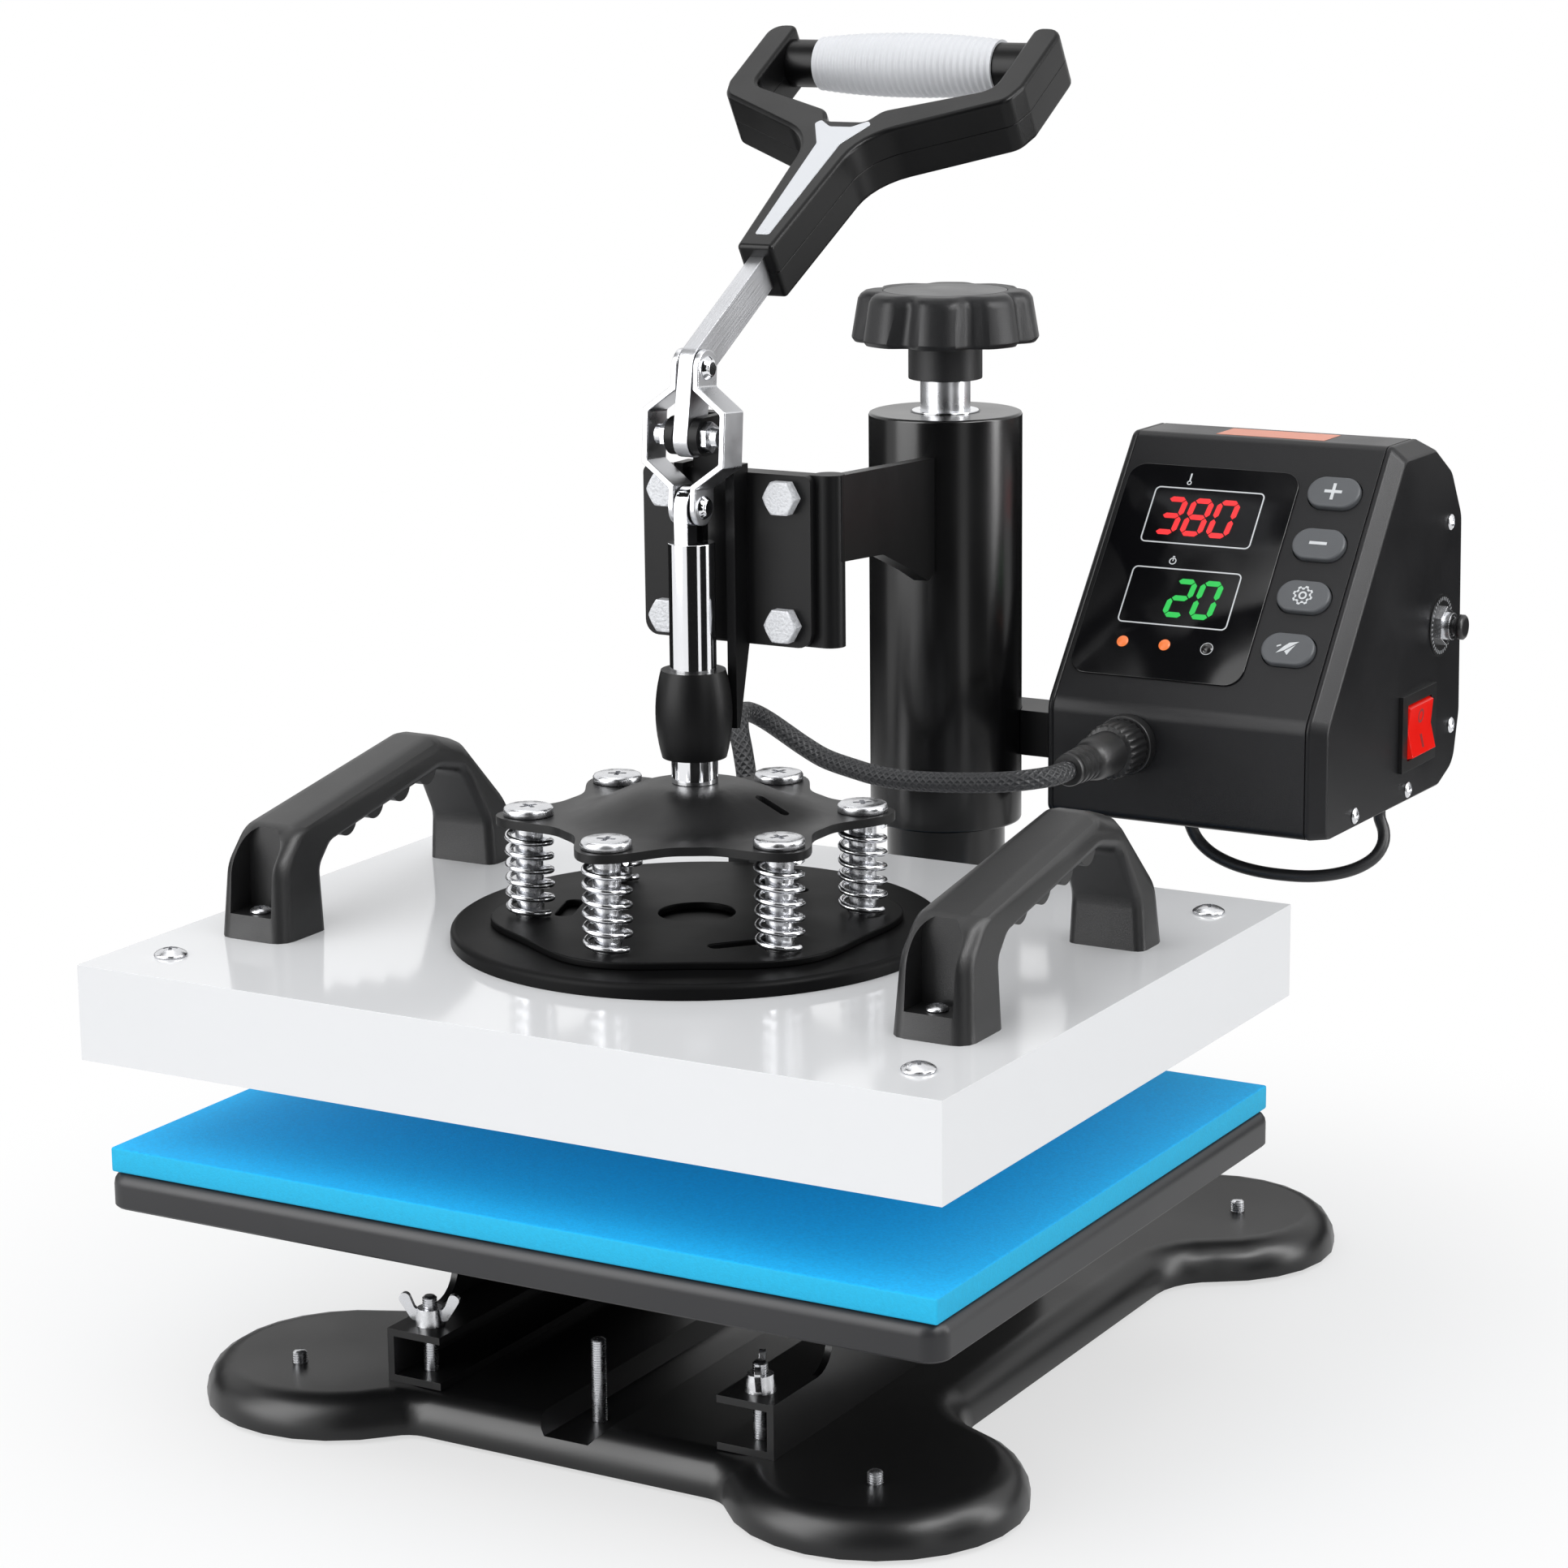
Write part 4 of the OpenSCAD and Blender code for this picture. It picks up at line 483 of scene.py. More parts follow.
def dress(node, edge, material, segments=2, angle=35, keep=60, cut=None):
    """Copy of a rigid solid with its edges broken as its making leaves them"""
    build = copy_of(node)
    bmesh.ops.dissolve_limit(build, angle_limit=flat_within, verts=build.verts, edges=build.edges)
    piece = skin_of(node, build, material)
    smooth(piece, angle)
    if edge:
        round_over = piece.modifiers.new("edge", "BEVEL")
        round_over.width = edge
        round_over.segments = segments
        round_over.limit_method = "ANGLE"
        round_over.angle_limit = radians(angle)
        round_over.use_clamp_overlap = True
        round_over.miter_outer = "MITER_ARC"
        bake(piece)
        smooth(piece, keep)
    if cut:
        carve(piece, *cut)
    level_faces(piece, 80)
    return seat(piece, node)


dress("base_pan", 0.001, black_powder, angle=40)
foot_rubber = finish("foot_rubber", from_screen(24, 24, 25), 0.75, fine=700, bump=0.15)
dress("rubber_feet", 0.001, foot_rubber)

# Studs: zinc-plated threaded rod, welded under the pan. Four end in the feet, one tall stud stands
# in the trough for accessories and two clamp the support channels under wing nuts.
zinc = finish("bright_zinc", from_screen(214, 215, 218), 0.26, metal=1, fine=420, broad=260, bump=0.1,
              drift=0.12, spread=0.08)


def lathe(name, outline, places, material, sides=64, closed=False, flutes=0):
    """Turned pieces about each place's Z axis; a third number in the outline is a flute's depth"""
    build = bmesh.new()
    for place in places:
        rings = []
        for r, z, *cut in outline:
            ring = []
            for i in range(sides):
                a = 2 * pi * i / sides
                reach = r - (cut[0] * (1 - cos(flutes * a)) / 2 if cut else 0)
                ring.append(build.verts.new(place @ Vector((reach * cos(a), reach * sin(a), z))))
            rings.append(ring)
        for a, b in list(zip(rings, rings[1:])) + ([(rings[-1], rings[0])] if closed else []):
            for i in range(sides):
                j = (i + 1) % sides
                build.faces.new((a[i], a[j], b[j], b[i])).smooth = True
        if not closed:
            build.faces.new(rings[0][::-1])
            build.faces.new(rings[-1])
    bmesh.ops.recalc_face_normals(build, faces=build.faces)
    piece = piece_of(name, build, material)
    piece.data.set_sharp_from_angle(angle=radians(50))
    return piece


def thread_line(rise, radius, pitch):
    """Outline of a threaded rod with a chamfered end"""
    root = radius * 0.86
    line = [(root, 0)]
    for k in range(int(rise / pitch)):
        line += [(root, (k + 0.1) * pitch), (radius, (k + 0.4) * pitch), (radius, (k + 0.6) * pitch),
                 (root, (k + 0.9) * pitch)]
    return line + [(radius * 0.9, rise - 0.0006), (radius * 0.66, rise)]


def standing(x, y, z):
    """An upright place at a point"""
    return Matrix.Translation(at(x, y, z))


stud_r, stud_pitch, pan_rise = 0.003, 0.001, 0.0395
foot_low, foot_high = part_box("foot_studs")
foot_spots = ((-132, -96), (132, -96), (-124, 255), (124, 255))
foot_places = [standing(x, y, foot_low.z * 1000) for x, y in foot_spots]
foot_line = thread_line(foot_high.z - foot_low.z, stud_r, stud_pitch)
seat(lathe("foot_screw_ends", foot_line, foot_places, zinc, sides=16), "foot_studs")
pan_places = [standing(0, -79, 6.5), standing(-76, -84, 12.5), standing(76, -84, 12.5)]
pan_line = thread_line(pan_rise, stud_r, stud_pitch)
seat(lathe("pan_studs", pan_line, pan_places, zinc, sides=16), "base_studs")
dress("wing_nut_left", 0.0007, zinc)
dress("wing_nut_right", 0.0007, zinc)

# Support channels: two folded steel channels with uprights under the lower platen,
# in the same black powder coat as the pan.
dress("support_channels", 0.0008, black_powder)

# Lower platen: a flat steel tray with a rolled edge, painted dark grey. The blue silicone foam pad
# glued on it is a sawn slab with fine open cells, and has a lamp of its own under the hot platen.
tray_grey = finish("tray_paint", from_screen(44, 44, 46), 0.42, fine=2000, broad=14, bump=0.05,
                   level=0.35)
dress("lower_platen", 0, tray_grey, angle=40)

# Painted light: the top faces get a bluer copy of the foam than the sides, with more blue and less red. This
# is painted bounce light for the shade under the hot platen, and the sides keep the plainer lit colour.
foam_top_painted_bounce = finish("blue_foam_top_painted_bounce", from_screen(24, 176, 246), 0.85, fine=1500, broad=800, bump=0.35, drift=0.26,
              level=0.2)
foam_sides_lit_copy = finish("blue_foam_sides_lit_copy", from_screen(40, 178, 222), 0.85, fine=1300, broad=600, bump=0.4,
                  drift=0.1, level=0.2)
pad_low, pad_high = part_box("sponge_pad")
pad_round = 0.0009
slab = bmesh.new()
bmesh.ops.create_cube(slab, size=1)
for corner in slab.verts:
    corner.co = Vector([pad_low[i] + (pad_high[i] - pad_low[i]) * (corner.co[i] + 0.5) for i in range(3)])
bmesh.ops.bevel(slab, geom=slab.edges[:], offset=pad_round, segments=3, profile=0.5, affect="EDGES")
for face in slab.faces:
    face.smooth = True
    # Upward faces take the painted-bounce top copy of the foam, and all other faces take the lit side copy.
    face.material_index = 0 if face.normal.z > 0.7 else 1
pad = piece_of("foam_pad", slab, foam_top_painted_bounce, foam_sides_lit_copy)
seat(pad, "sponge_pad")
pad_fill = lamp("pad_fill", "SUN", (0, -0.6, 1.6), (0, 0, 0.1), 1.08, angle=radians(60))
pad_only = bpy.data.collections.new("pad_only")
pad_only.objects.link(pad)
pad_fill.light_linking.receiver_collection = pad_only
pad_fill.light_linking.blocker_collection = pad_only

# Column: a steel post on a round foot, and over it the long swing sleeve in gloss black enamel.
# A hard chrome spindle turns in a thrust collar in the sleeve's closed top.
gloss_black = finish("gloss_black_enamel", from_screen(6, 6, 7), 0.23, fine=700, broad=14, bump=0.02,
                     level=0.5)
hard_chrome = finish("hard_chrome", from_screen(236, 237, 240), 0.07, metal=1, fine=300, broad=30,
                     bump=0.01, drift=0.03, spread=0.02)
dress("column_post", 0.001, gloss_black)
dress("swing_sleeve", 0.0012, gloss_black)
dress("thrust_collar", 0.0004, hard_chrome)
spindle_zinc = finish("spindle_zinc", from_screen(206, 207, 210), 0.28, metal=1, fine=500, broad=90,
                      bump=0.03, drift=0.06)
dress("pressure_spindle", 0.0005, spindle_zinc)

# Pressure knob: a lobed moulding in dark grey plastic with a fine spark grain,
# and a smoother cap let into its top.
knob_grey = finish("knob_plastic", from_screen(30, 30, 32), 0.42, fine=2600, broad=50, bump=0.16,
                   level=0.32)
cap_grey = finish("knob_cap_plastic", from_screen(40, 40, 42), 0.34, fine=1800, broad=50, bump=0.05,
                  level=0.36)
dress("pressure_knob", 0.0004, knob_grey, angle=45)
dress("knob_cap", 0.0003, cap_grey)

# Arm: a folded plate welded to the sleeve, and bolted to it the clamp body
# with its flange, two cheeks and the turned barrel that guides the ram.
satin_black = finish("satin_black_paint", from_screen(16, 16, 17), 0.38, fine=1500, broad=22, bump=0.06,
                     level=0.16)
dress("arm_bracket", 0.0008, satin_black)
dress("clamp_body", 0.0006, satin_black)
bolt_zinc = finish("bolt_zinc", from_screen(206, 207, 210), 0.46, metal=0.15, fine=900, broad=900,
                   bump=0.5, drift=0.45, spread=0.14, level=0.3)


def turned(place, degrees, axis):
    """A place at a point, turned about one axis"""
    return Matrix.Translation(place) @ Matrix.Rotation(radians(degrees), 4, axis)


bolt_low, bolt_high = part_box("flange_bolts")
hex_corner, hex_flat = 0.0074, 0.0064
bolt_faces = [turned((x, bolt_low.y, z), 90, "X")
              for x in (bolt_low.x + hex_corner, bolt_high.x - hex_corner)
              for z in (bolt_low.z + hex_flat, bolt_high.z - hex_flat)]
chamfer_line = [(0.0043, 0.001), (0.008, -0.0011), (0.008, -0.06)]
turned_face = lathe("bolt_chamfer", chamfer_line, bolt_faces, bolt_zinc)
dress("flange_bolts", 0.0002, bolt_zinc, angle=40, cut=(turned_face, "INTERSECT"))
dress("pivot_pin", 0.0006, zinc)

# Lever: a flat bar of brushed steel with its foot in the clamp's ears,
# and two pressed links of satin steel that hang from it on bright rivets.
lever_rise = 30.5
brushed, brushed_in, brushed_out = group_of("brushed_lines", ("Across", "Along"), ("Height", "Shade"))
brushed_place = brushed.nodes.new("ShaderNodeTexCoord")
brushed_turn = brushed.nodes.new("ShaderNodeMapping")
brushed_turn.inputs["Rotation"].default_value = (radians(-lever_rise), 0, 0)
brushed_scale = brushed.nodes.new("ShaderNodeCombineXYZ")
wire(brushed, brushed_in, "Across", brushed_scale, 0)
wire(brushed, brushed_in, "Along", brushed_scale, 1)
wire(brushed, brushed_in, "Across", brushed_scale, 2)
brushed_stretch = brushed.nodes.new("ShaderNodeVectorMath")
brushed_stretch.operation = "MULTIPLY"
brushed_noise = brushed.nodes.new("ShaderNodeTexNoise")
preset(brushed_noise, {"Scale": 1, "Detail": 3})
wire(brushed, brushed_place, "Object", brushed_turn, "Vector")
wire(brushed, brushed_turn, 0, brushed_stretch, 0)
wire(brushed, brushed_scale, 0, brushed_stretch, 1)
wire(brushed, brushed_stretch, 0, brushed_noise, "Vector")
for socket in ("Height", "Shade"):
    wire(brushed, brushed_noise, "Fac", brushed_out, socket)

bar_steel = finish("brushed_bar_steel", from_screen(178, 179, 182), 0.34, metal=1, bump=0.02,
                   drift=0.08)
patterned(bar_steel, brushed, "Shade", strength=0.25, distance=grain_depth, Across=2600, Along=40)
dress("lever_bar", 0.0006, bar_steel)
link_steel = finish("satin_link_steel", from_screen(198, 199, 202), 0.3, metal=1, fine=600, broad=80,
                    bump=0.04, drift=0.08)
dress("toggle_links", 0.0005, link_steel, angle=30)
dress("link_rivets", 0.0006, hard_chrome)

# Lever handle: two black mouldings screwed together round the bar's end, with a seam along the sides,
# a bright Y-shaped inlay in the face and a white ribbed sleeve over the cross bar.
handle_black = finish("handle_plastic", from_screen(11, 11, 12), 0.33, fine=2400, broad=30, bump=0.08,
                      level=0.2)
pivot_z, crank, crank_lean = 389.4, 26.5, radians(9)
bend_ahead, bend_over = 0.8, 1.4
lever_foot = at(0, crank * sin(crank_lean) + bend_ahead,
                pivot_z + crank * cos(crank_lean) + bend_over)
lever_frame = turned(lever_foot, lever_rise, "X")
half_thick, face_round, seam_share, hair = 0.0125, 0.0019, 0.16, 1e-5


def moulded_half(node, face_level):
    """A handle half with its outer face rounded over and only a hairline broken at the seam"""
    into = lever_frame.inverted()
    build = copy_of(node)
    off_seam = [v for v in build.verts if abs((into @ v.co).z) > hair]
    loose = [e for e in build.edges if any(abs((into @ v.co).z) > hair for v in e.verts)]
    bmesh.ops.dissolve_limit(build, angle_limit=flat_within, verts=off_seam, edges=loose)
    weights = build.edges.layers.float.new("bevel_weight_edge")
    pocket = [(into @ v.co).xy for v in frame["nodes"]["handle_inlay"].data.vertices]
    for e in build.edges:
        levels = [(into @ v.co).z for v in e.verts]
        if len(e.link_faces) != 2 or e.calc_face_angle(0) < radians(40):
            continue
        in_pocket = all(min(((into @ v.co).xy - p).length for p in pocket) < 10 * hair for v in e.verts)
        if all(abs(z - face_level) < hair for z in levels) and not in_pocket:
            e[weights] = 1.0
        elif all(abs(z) < hair for z in levels):
            e[weights] = seam_share
    piece = skin_of(node, build, handle_black)
    round_over = piece.modifiers.new("edge", "BEVEL")
    round_over.width = face_round
    round_over.segments = 4
    round_over.limit_method = "WEIGHT"
    round_over.use_clamp_overlap = False
    bake(piece)
    smooth(piece, 50)
    level_faces(piece, 50)
    return seat(piece, node)


moulded_half("handle_front_half", half_thick)
moulded_half("handle_back_half", -half_thick)
inlay_silver = finish("silver_inlay", from_screen(206, 208, 212), 0.3, metal=0.1, fine=1500, bump=0.04,
                      drift=0.05)
dress("handle_inlay", 0.0003, inlay_silver)

grip_white = finish("white_grip", from_screen(226, 227, 230), 0.5, fine=1800, broad=60, bump=0.1,
                    drift=0.04, level=0.35)
rib_count, rib_steps, rib_depth, grip_way = 28, 8, 0.0003, 0.207
grip_half, bore_r, crown_r, end_r, fullness = 0.042, 0.01006, 0.0134, 0.0112, 2.2
grip_line = [(bore_r, -grip_half)]
for i in range(rib_count * rib_steps + 1):
    t = 2 * i / (rib_count * rib_steps) - 1
    crown = crown_r - (crown_r - end_r) * abs(t) ** fullness
    grip_line.append((crown - rib_depth * (1 - cos(2 * pi * i / rib_steps)), t * grip_half))
grip_line.append((bore_r, grip_half))
grip_turn = Matrix.Rotation(radians(90), 4, "Y")
grip_place = lever_frame @ Matrix.Translation((0, grip_way, 0)) @ grip_turn
seat(lathe("ribbed_sleeve", grip_line, [grip_place], grip_white, closed=True), "ribbed_grip")

# Ram: a hard chrome plunger with a flat tang for the links, set in the dome of a six-armed
# pressed plate. Six bright screws and six coil springs hold the hot platen under it.
dress("plunger", 0.0005, hard_chrome)
sheet_black = finish("pressed_sheet_black", from_screen(16, 16, 17), 0.4, fine=1600, broad=30, bump=0.1,
                     level=0.26)
dress("pressure_plate", 0.0008, sheet_black)
spring_steel = finish("spring_steel", from_screen(224, 225, 228), 0.2, metal=1, fine=500, broad=80,
                      bump=0.02, drift=0.05)


def tree_of(name, floats, vectors=()):
    """A Geometry Nodes tree with a geometry, named numbers, vectors and a material for inputs"""
    tree = bpy.data.node_groups.new(name, "GeometryNodeTree")
    tree.interface.new_socket("Geometry", in_out="OUTPUT", socket_type="NodeSocketGeometry")
    tree.interface.new_socket("Geometry", in_out="INPUT", socket_type="NodeSocketGeometry")
    for label in floats:
        tree.interface.new_socket(label, in_out="INPUT", socket_type="NodeSocketFloat")
    for label in vectors:
        tree.interface.new_socket(label, in_out="INPUT", socket_type="NodeSocketVector")
    tree.interface.new_socket("Steel", in_out="INPUT", socket_type="NodeSocketMaterial")
    return tree, tree.nodes.new("NodeGroupInput"), tree.nodes.new("NodeGroupOutput")


def six_round(tree, circle_r):
    """Six points on a circle, as the plate's arms stand"""
    spots = tree.nodes.new("GeometryNodeMeshCircle")
    spots.inputs["Vertices"].default_value = 6
    turn = tree.nodes.new("GeometryNodeTransform")
    turn.inputs["Rotation"].default_value = (0, 0, radians(30))
    tree.links.new(circle_r, spots.inputs["Radius"])
    wire(tree, spots, "Mesh", turn, "Geometry")
    return turn.outputs["Geometry"]


def set_on(tree, tree_in, tree_out, points, thing, turn=None):
    """Sets a thing on points and ends the tree in Realize Instances and Set Material"""
    spread = tree.nodes.new("GeometryNodeInstanceOnPoints")
    real = tree.nodes.new("GeometryNodeRealizeInstances")
    steel = tree.nodes.new("GeometryNodeSetMaterial")
    tree.links.new(points, spread.inputs["Points"])
    tree.links.new(thing, spread.inputs["Instance"])
    if turn:
        tree.links.new(turn, spread.inputs["Rotation"])
    wire(tree, spread, "Instances", real, "Geometry")
    wire(tree, real, "Geometry", steel, "Geometry")
    wire(tree, tree_in, "Steel", steel, "Material")
    wire(tree, steel, "Geometry", tree_out, "Geometry")


def grown(name, tree, points=(), base=None, **values):
    """Plain mesh of a tree over points or over a base piece, with its named inputs set"""
    piece = base or bpy.data.objects.new(name, bpy.data.meshes.new(name))
    if not base:
        piece.data.from_pydata(points, [], [])
        scene.collection.objects.link(piece)
    growth = piece.modifiers.new("growth", "NODES")
    growth.node_group = tree
    for item in tree.interface.items_tree:
        if item.in_out == "INPUT" and item.name in values:
            growth[item.identifier] = values[item.name]
    bake(piece)
    return piece


coils, coil_in, coil_out = tree_of("coil_springs", ("Circle", "Coil", "Wire", "Rise", "Curls"))
spiral = coils.nodes.new("GeometryNodeCurveSpiral")
spiral.inputs["Resolution"].default_value = 28
wire_ring = coils.nodes.new("GeometryNodeCurvePrimitiveCircle")
wire_ring.inputs["Resolution"].default_value = 12
sweep_wire = coils.nodes.new("GeometryNodeCurveToMesh")
sweep_wire.inputs["Fill Caps"].default_value = True
for label, socket in (("Coil", "Start Radius"), ("Coil", "End Radius"), ("Rise", "Height"),
                      ("Curls", "Rotations")):
    wire(coils, coil_in, label, spiral, socket)
wire(coils, coil_in, "Wire", wire_ring, "Radius")
wire(coils, spiral, "Curve", sweep_wire, "Curve")
wire(coils, wire_ring, "Curve", sweep_wire, "Profile Curve")
set_on(coils, coil_in, coil_out, six_round(coils, coil_in.outputs["Circle"]),
       sweep_wire.outputs["Mesh"])

cross, cross_in, cross_out = tree_of("cross_recess", ("Span", "Width", "Depth"), ("Turn",))
cross_both = cross.nodes.new("GeometryNodeJoinGeometry")
for sides in (("Span", "Width", "Depth"), ("Width", "Span", "Depth")):
    bar_size = cross.nodes.new("ShaderNodeCombineXYZ")
    bar = cross.nodes.new("GeometryNodeMeshCube")
    for i, label in enumerate(sides):
        wire(cross, cross_in, label, bar_size, i)
    wire(cross, bar_size, 0, bar, "Size")
    wire(cross, bar, "Mesh", cross_both, "Geometry")
set_on(cross, cross_in, cross_out, cross_in.outputs["Geometry"], cross_both.outputs["Geometry"],
       cross_in.outputs["Turn"])


def crosses(points, span, width, depth, turn=(0, 0, 0.6)):
    """Cutter of cross recesses at the middles of screw heads"""
    return grown("cross_cutter", cross, points, Span=span, Width=width, Depth=2 * depth, Turn=turn,
                 Steel=zinc)


circle, circle_in, circle_out = tree_of("screw_circle", ("Circle", "Step"))
circle_index = circle.nodes.new("GeometryNodeInputIndex")
circle_spin = circle.nodes.new("ShaderNodeCombineXYZ")
circle_step = sum_of(circle, "MULTIPLY", circle_index.outputs[0], circle_in.outputs["Step"])
circle.links.new(circle_step, circle_spin.inputs[2])
set_on(circle, circle_in, circle_out, six_round(circle, circle_in.outputs["Circle"]),
       circle_in.outputs["Geometry"], circle_spin.outputs[0])

spring_circle, disc_top, wire_lift = 0.066, 199, 1.4
screw_low, screw_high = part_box("spring_screws")
screw_top = screw_high.z - screw_low.z
shank_r, head_r, head_low = 0.0055, 0.01, screw_top - 0.0036
shoulder = [(shank_r, 0), (shank_r, head_low), (0.0097, head_low), (head_r, screw_top - 0.0033),
            (head_r, screw_top - 0.0012), (0.0095, screw_top - 0.0004), (0.0086, screw_top)]
screws = lathe("shoulder_screws", shoulder, [Matrix.Identity(4)], zinc, sides=48)
carve(screws, crosses([(0, 0, screw_top)], span=0.0075, width=0.0019, depth=0.0016))
screws = grown("shoulder_screws", circle, base=screws, Circle=spring_circle, Step=0.7, Steel=zinc)
screws.data.transform(Matrix.Translation(at(0, 0, screw_low.z * 1000)))
seat(screws, "spring_screws")
springs = grown("platen_springs", coils, Circle=spring_circle, Coil=0.00865, Wire=0.00125, Rise=0.0342,
                Curls=6.0, Steel=spring_steel)
springs.data.transform(Matrix.Translation(at(0, 0, disc_top + wire_lift)))
springs.data.shade_smooth()
seat(springs, "pressure_springs")
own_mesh(springs)

# Hot platen: a thick round seat disc and a lobed plate over it, both black, carry the springs
# on the white enamelled cover. The cast heating plate fills the cover from below.
disc_black = finish("disc_black", from_screen(10, 10, 11), 0.46, fine=1200, broad=20, bump=0.05,
                    level=0.08)
dress("seat_disc", 0, disc_black, angle=40)
dress("disc_plate", 0.0006, disc_black)
white_enamel = finish("white_enamel", from_screen(238, 238, 239), 0.1, fine=160, broad=10, bump=0.012,
                      drift=0.012, spread=0.03)
dress("heater_cover", 0.0012, white_enamel, segments=3)
cast_plate = finish("cast_heating_plate", from_screen(214, 214, 216), 0.5, metal=0.1, fine=900,
                    bump=0.08)
dress("heating_plate", 0.0004, cast_plate)
wool = finish("mineral_mat", from_screen(200, 190, 150), 0.95, fine=400, bump=0.5)


def paint(node, material):
    """Gives a solid that stays as it is its colour"""
    frame["nodes"][node].data.materials.clear()
    frame["nodes"][node].data.materials.append(material)


paint("insulation_mat", wool)
cover_x, cover_y, cover_heads = 166, 124.5, 193.4
handle_x, handle_front, handle_back, handle_heads = 152, -84, 70, 202.6
head_middles = [at(x, y, cover_heads) for x in (-cover_x, cover_x) for y in (-cover_y, cover_y)]
head_middles += [at(x, y, handle_heads) for x in (-handle_x, handle_x) for y in (handle_front, handle_back)]
platen_crosses = crosses(head_middles, span=0.0056, width=0.0014, depth=0.0014)
dress("platen_screws", 0.0005, zinc, cut=(platen_crosses,))

# Platen handles: two arched mouldings in black plastic with finger bumps under the grip,
# each held by a screw in the scoop at either foot.
grip_black = finish("platen_handle_plastic", from_screen(22, 22, 23), 0.4, fine=2200, broad=30,
                    bump=0.14, level=0.5)
dress("platen_handle_left", 0.0012, grip_black, segments=3)
dress("platen_handle_right", 0.0012, grip_black, segments=3)
gland_black = finish("gland_nylon", from_screen(26, 26, 27), 0.4, fine=1400, bump=0.06)
dress("cable_gland", 0.0005, gland_black)

# Control box: a folded steel shell between two side covers, in charcoal texture paint,
# hung on the sleeve by a short bracket and closed by small bright screws.
charcoal = finish("charcoal_paint", from_screen(28, 28, 30), 0.36, fine=2400, broad=24, bump=0.1,
                  level=0.26)
dress("box_shell", 0.0006, charcoal)
dress("box_side_left", 0.0014, charcoal, segments=3)
dress("box_side_right", 0.0014, charcoal, segments=3)
dress("box_bracket", 0.0006, satin_black)
screw_spots = ((249, 205.5), (310, 204.5), (361, 224), (355, 317))
right_heads, left_heads = 179.8, 48.2
side_screws = [at(x, y, z) for x in (right_heads, left_heads) for y, z in screw_spots]
side_crosses = crosses(side_screws, span=0.0046, width=0.001, depth=0.001,
                       turn=(0.5, radians(90), 0))
dress("box_screws", 0.0003, zinc, cut=(side_crosses,))
board_green = finish("board_green", from_screen(30, 92, 52), 0.5, fine=600, bump=0.05)
paint("control_board", board_green)

# Control panel: a dark gloss window with fine white frames round two rows of glowing figures,
# three small lamps under them, and four grey rubber keys with white signs.
window_gloss = finish("window_gloss", from_screen(14, 14, 16), 0.08, fine=60, bump=0.0, drift=0.05,
                      spread=0.02)
dress("display_window", 0.0003, window_gloss)
panel_lean = 38.3
panel_place = turned(at(0, 212, 250), 90 - panel_lean, "X")


def glow(name, colour, strength):
    """A lit plastic"""
    material, _, shader = blank(name)
    preset(shader, {"Base Color": tuple(c * 0.4 for c in colour[:3]) + (1,), "Roughness": 0.4,
                    "Emission Color": colour, "Emission Strength": strength})
    return material


def plates(name, outlines, place, thick, material, body):
    """Thin flat plates cut to outlines in millimetres and laid on a place"""
    build = bmesh.new()
    for outline in outlines:
        rings = outline if isinstance(outline[0][0], (tuple, list)) else [outline]
        low, high = ([[build.verts.new(place @ Vector((x * mm, y * mm, z))) for x, y in ring]
                      for ring in rings] for z in (0, thick))
        if len(rings) == 1:
            build.faces.new(low[0][::-1])
            build.faces.new(high[0])
        else:
            for k in range(len(low[0])):
                j = (k + 1) % len(low[0])
                build.faces.new((low[0][k], low[1][k], low[1][j], low[0][j]))
                build.faces.new((high[0][k], high[0][j], high[1][j], high[1][k]))
        for ring_low, ring_high in zip(low, high):
            for k in range(len(ring_low)):
                j = (k + 1) % len(ring_low)
                build.faces.new((ring_low[k], ring_low[j], ring_high[j], ring_high[k]))
    bmesh.ops.recalc_face_normals(build, faces=build.faces)
    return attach(piece_of(name, build, material), body)


def round_rect(x0, y0, x1, y1, r, steps=6):
    """A rectangle with round corners in the panel's millimetres"""
    points = []
    middles = ((x1 - r, y1 - r), (x0 + r, y1 - r), (x0 + r, y0 + r), (x1 - r, y0 + r))
    for (cx, cy), start in zip(middles, (0, 90, 180, 270)):
        for k in range(steps + 1):
            a = radians(start + 90 * k / steps)
            points.append((cx + r * cos(a), cy + r * sin(a)))
    return points


print_white = finish("printed_white", from_screen(222, 224, 226), 0.5, fine=900, bump=0.02, drift=0.03)
window_top, print_thick, figure_thick = 0.00102, 0.00012, 0.0002
on_window = panel_place @ Matrix.Translation((0, 0, window_top))
frame_line, frame_r = 0.6, 2.5
frames = []
for x0, y0, x1, y1 in ((70, 81.3, 122, 109.3), (71, 41.3, 122.5, 69.3)):
    inside = (x0 + frame_line, y0 + frame_line, x1 - frame_line, y1 - frame_line, frame_r - frame_line)
    frames.append([round_rect(x0, y0, x1, y1, frame_r), round_rect(*inside)])


def ring_of(x, y, r, wall, steps=24):
    """A round line in the panel's millimetres"""
    return [[(x + q * cos(2 * pi * k / steps), y + q * sin(2 * pi * k / steps))
             for k in range(steps)] for q in (r, r - wall)]


def bar_of(x, y, w, h):
    """A plain rectangle about its middle"""
    return [(x - w / 2, y - h / 2), (x + w / 2, y - h / 2), (x + w / 2, y + h / 2),
            (x - w / 2, y + h / 2)]


frames += [ring_of(116.3, 32, 2.9, 0.5), ring_of(85, 111.9, 1.1, 0.45), bar_of(85, 114.8, 0.7, 3.6),
           ring_of(88.5, 72.8, 1.7, 0.45), bar_of(88.5, 73.4, 0.45, 1.2), bar_of(88.5, 75.0, 1.0, 0.5)]
plates("window_frames", frames, on_window, print_thick, print_white, "arm")

segment_map = {"0": "abcdef", "2": "abdeg", "3": "abcdg", "8": "abcdefg"}


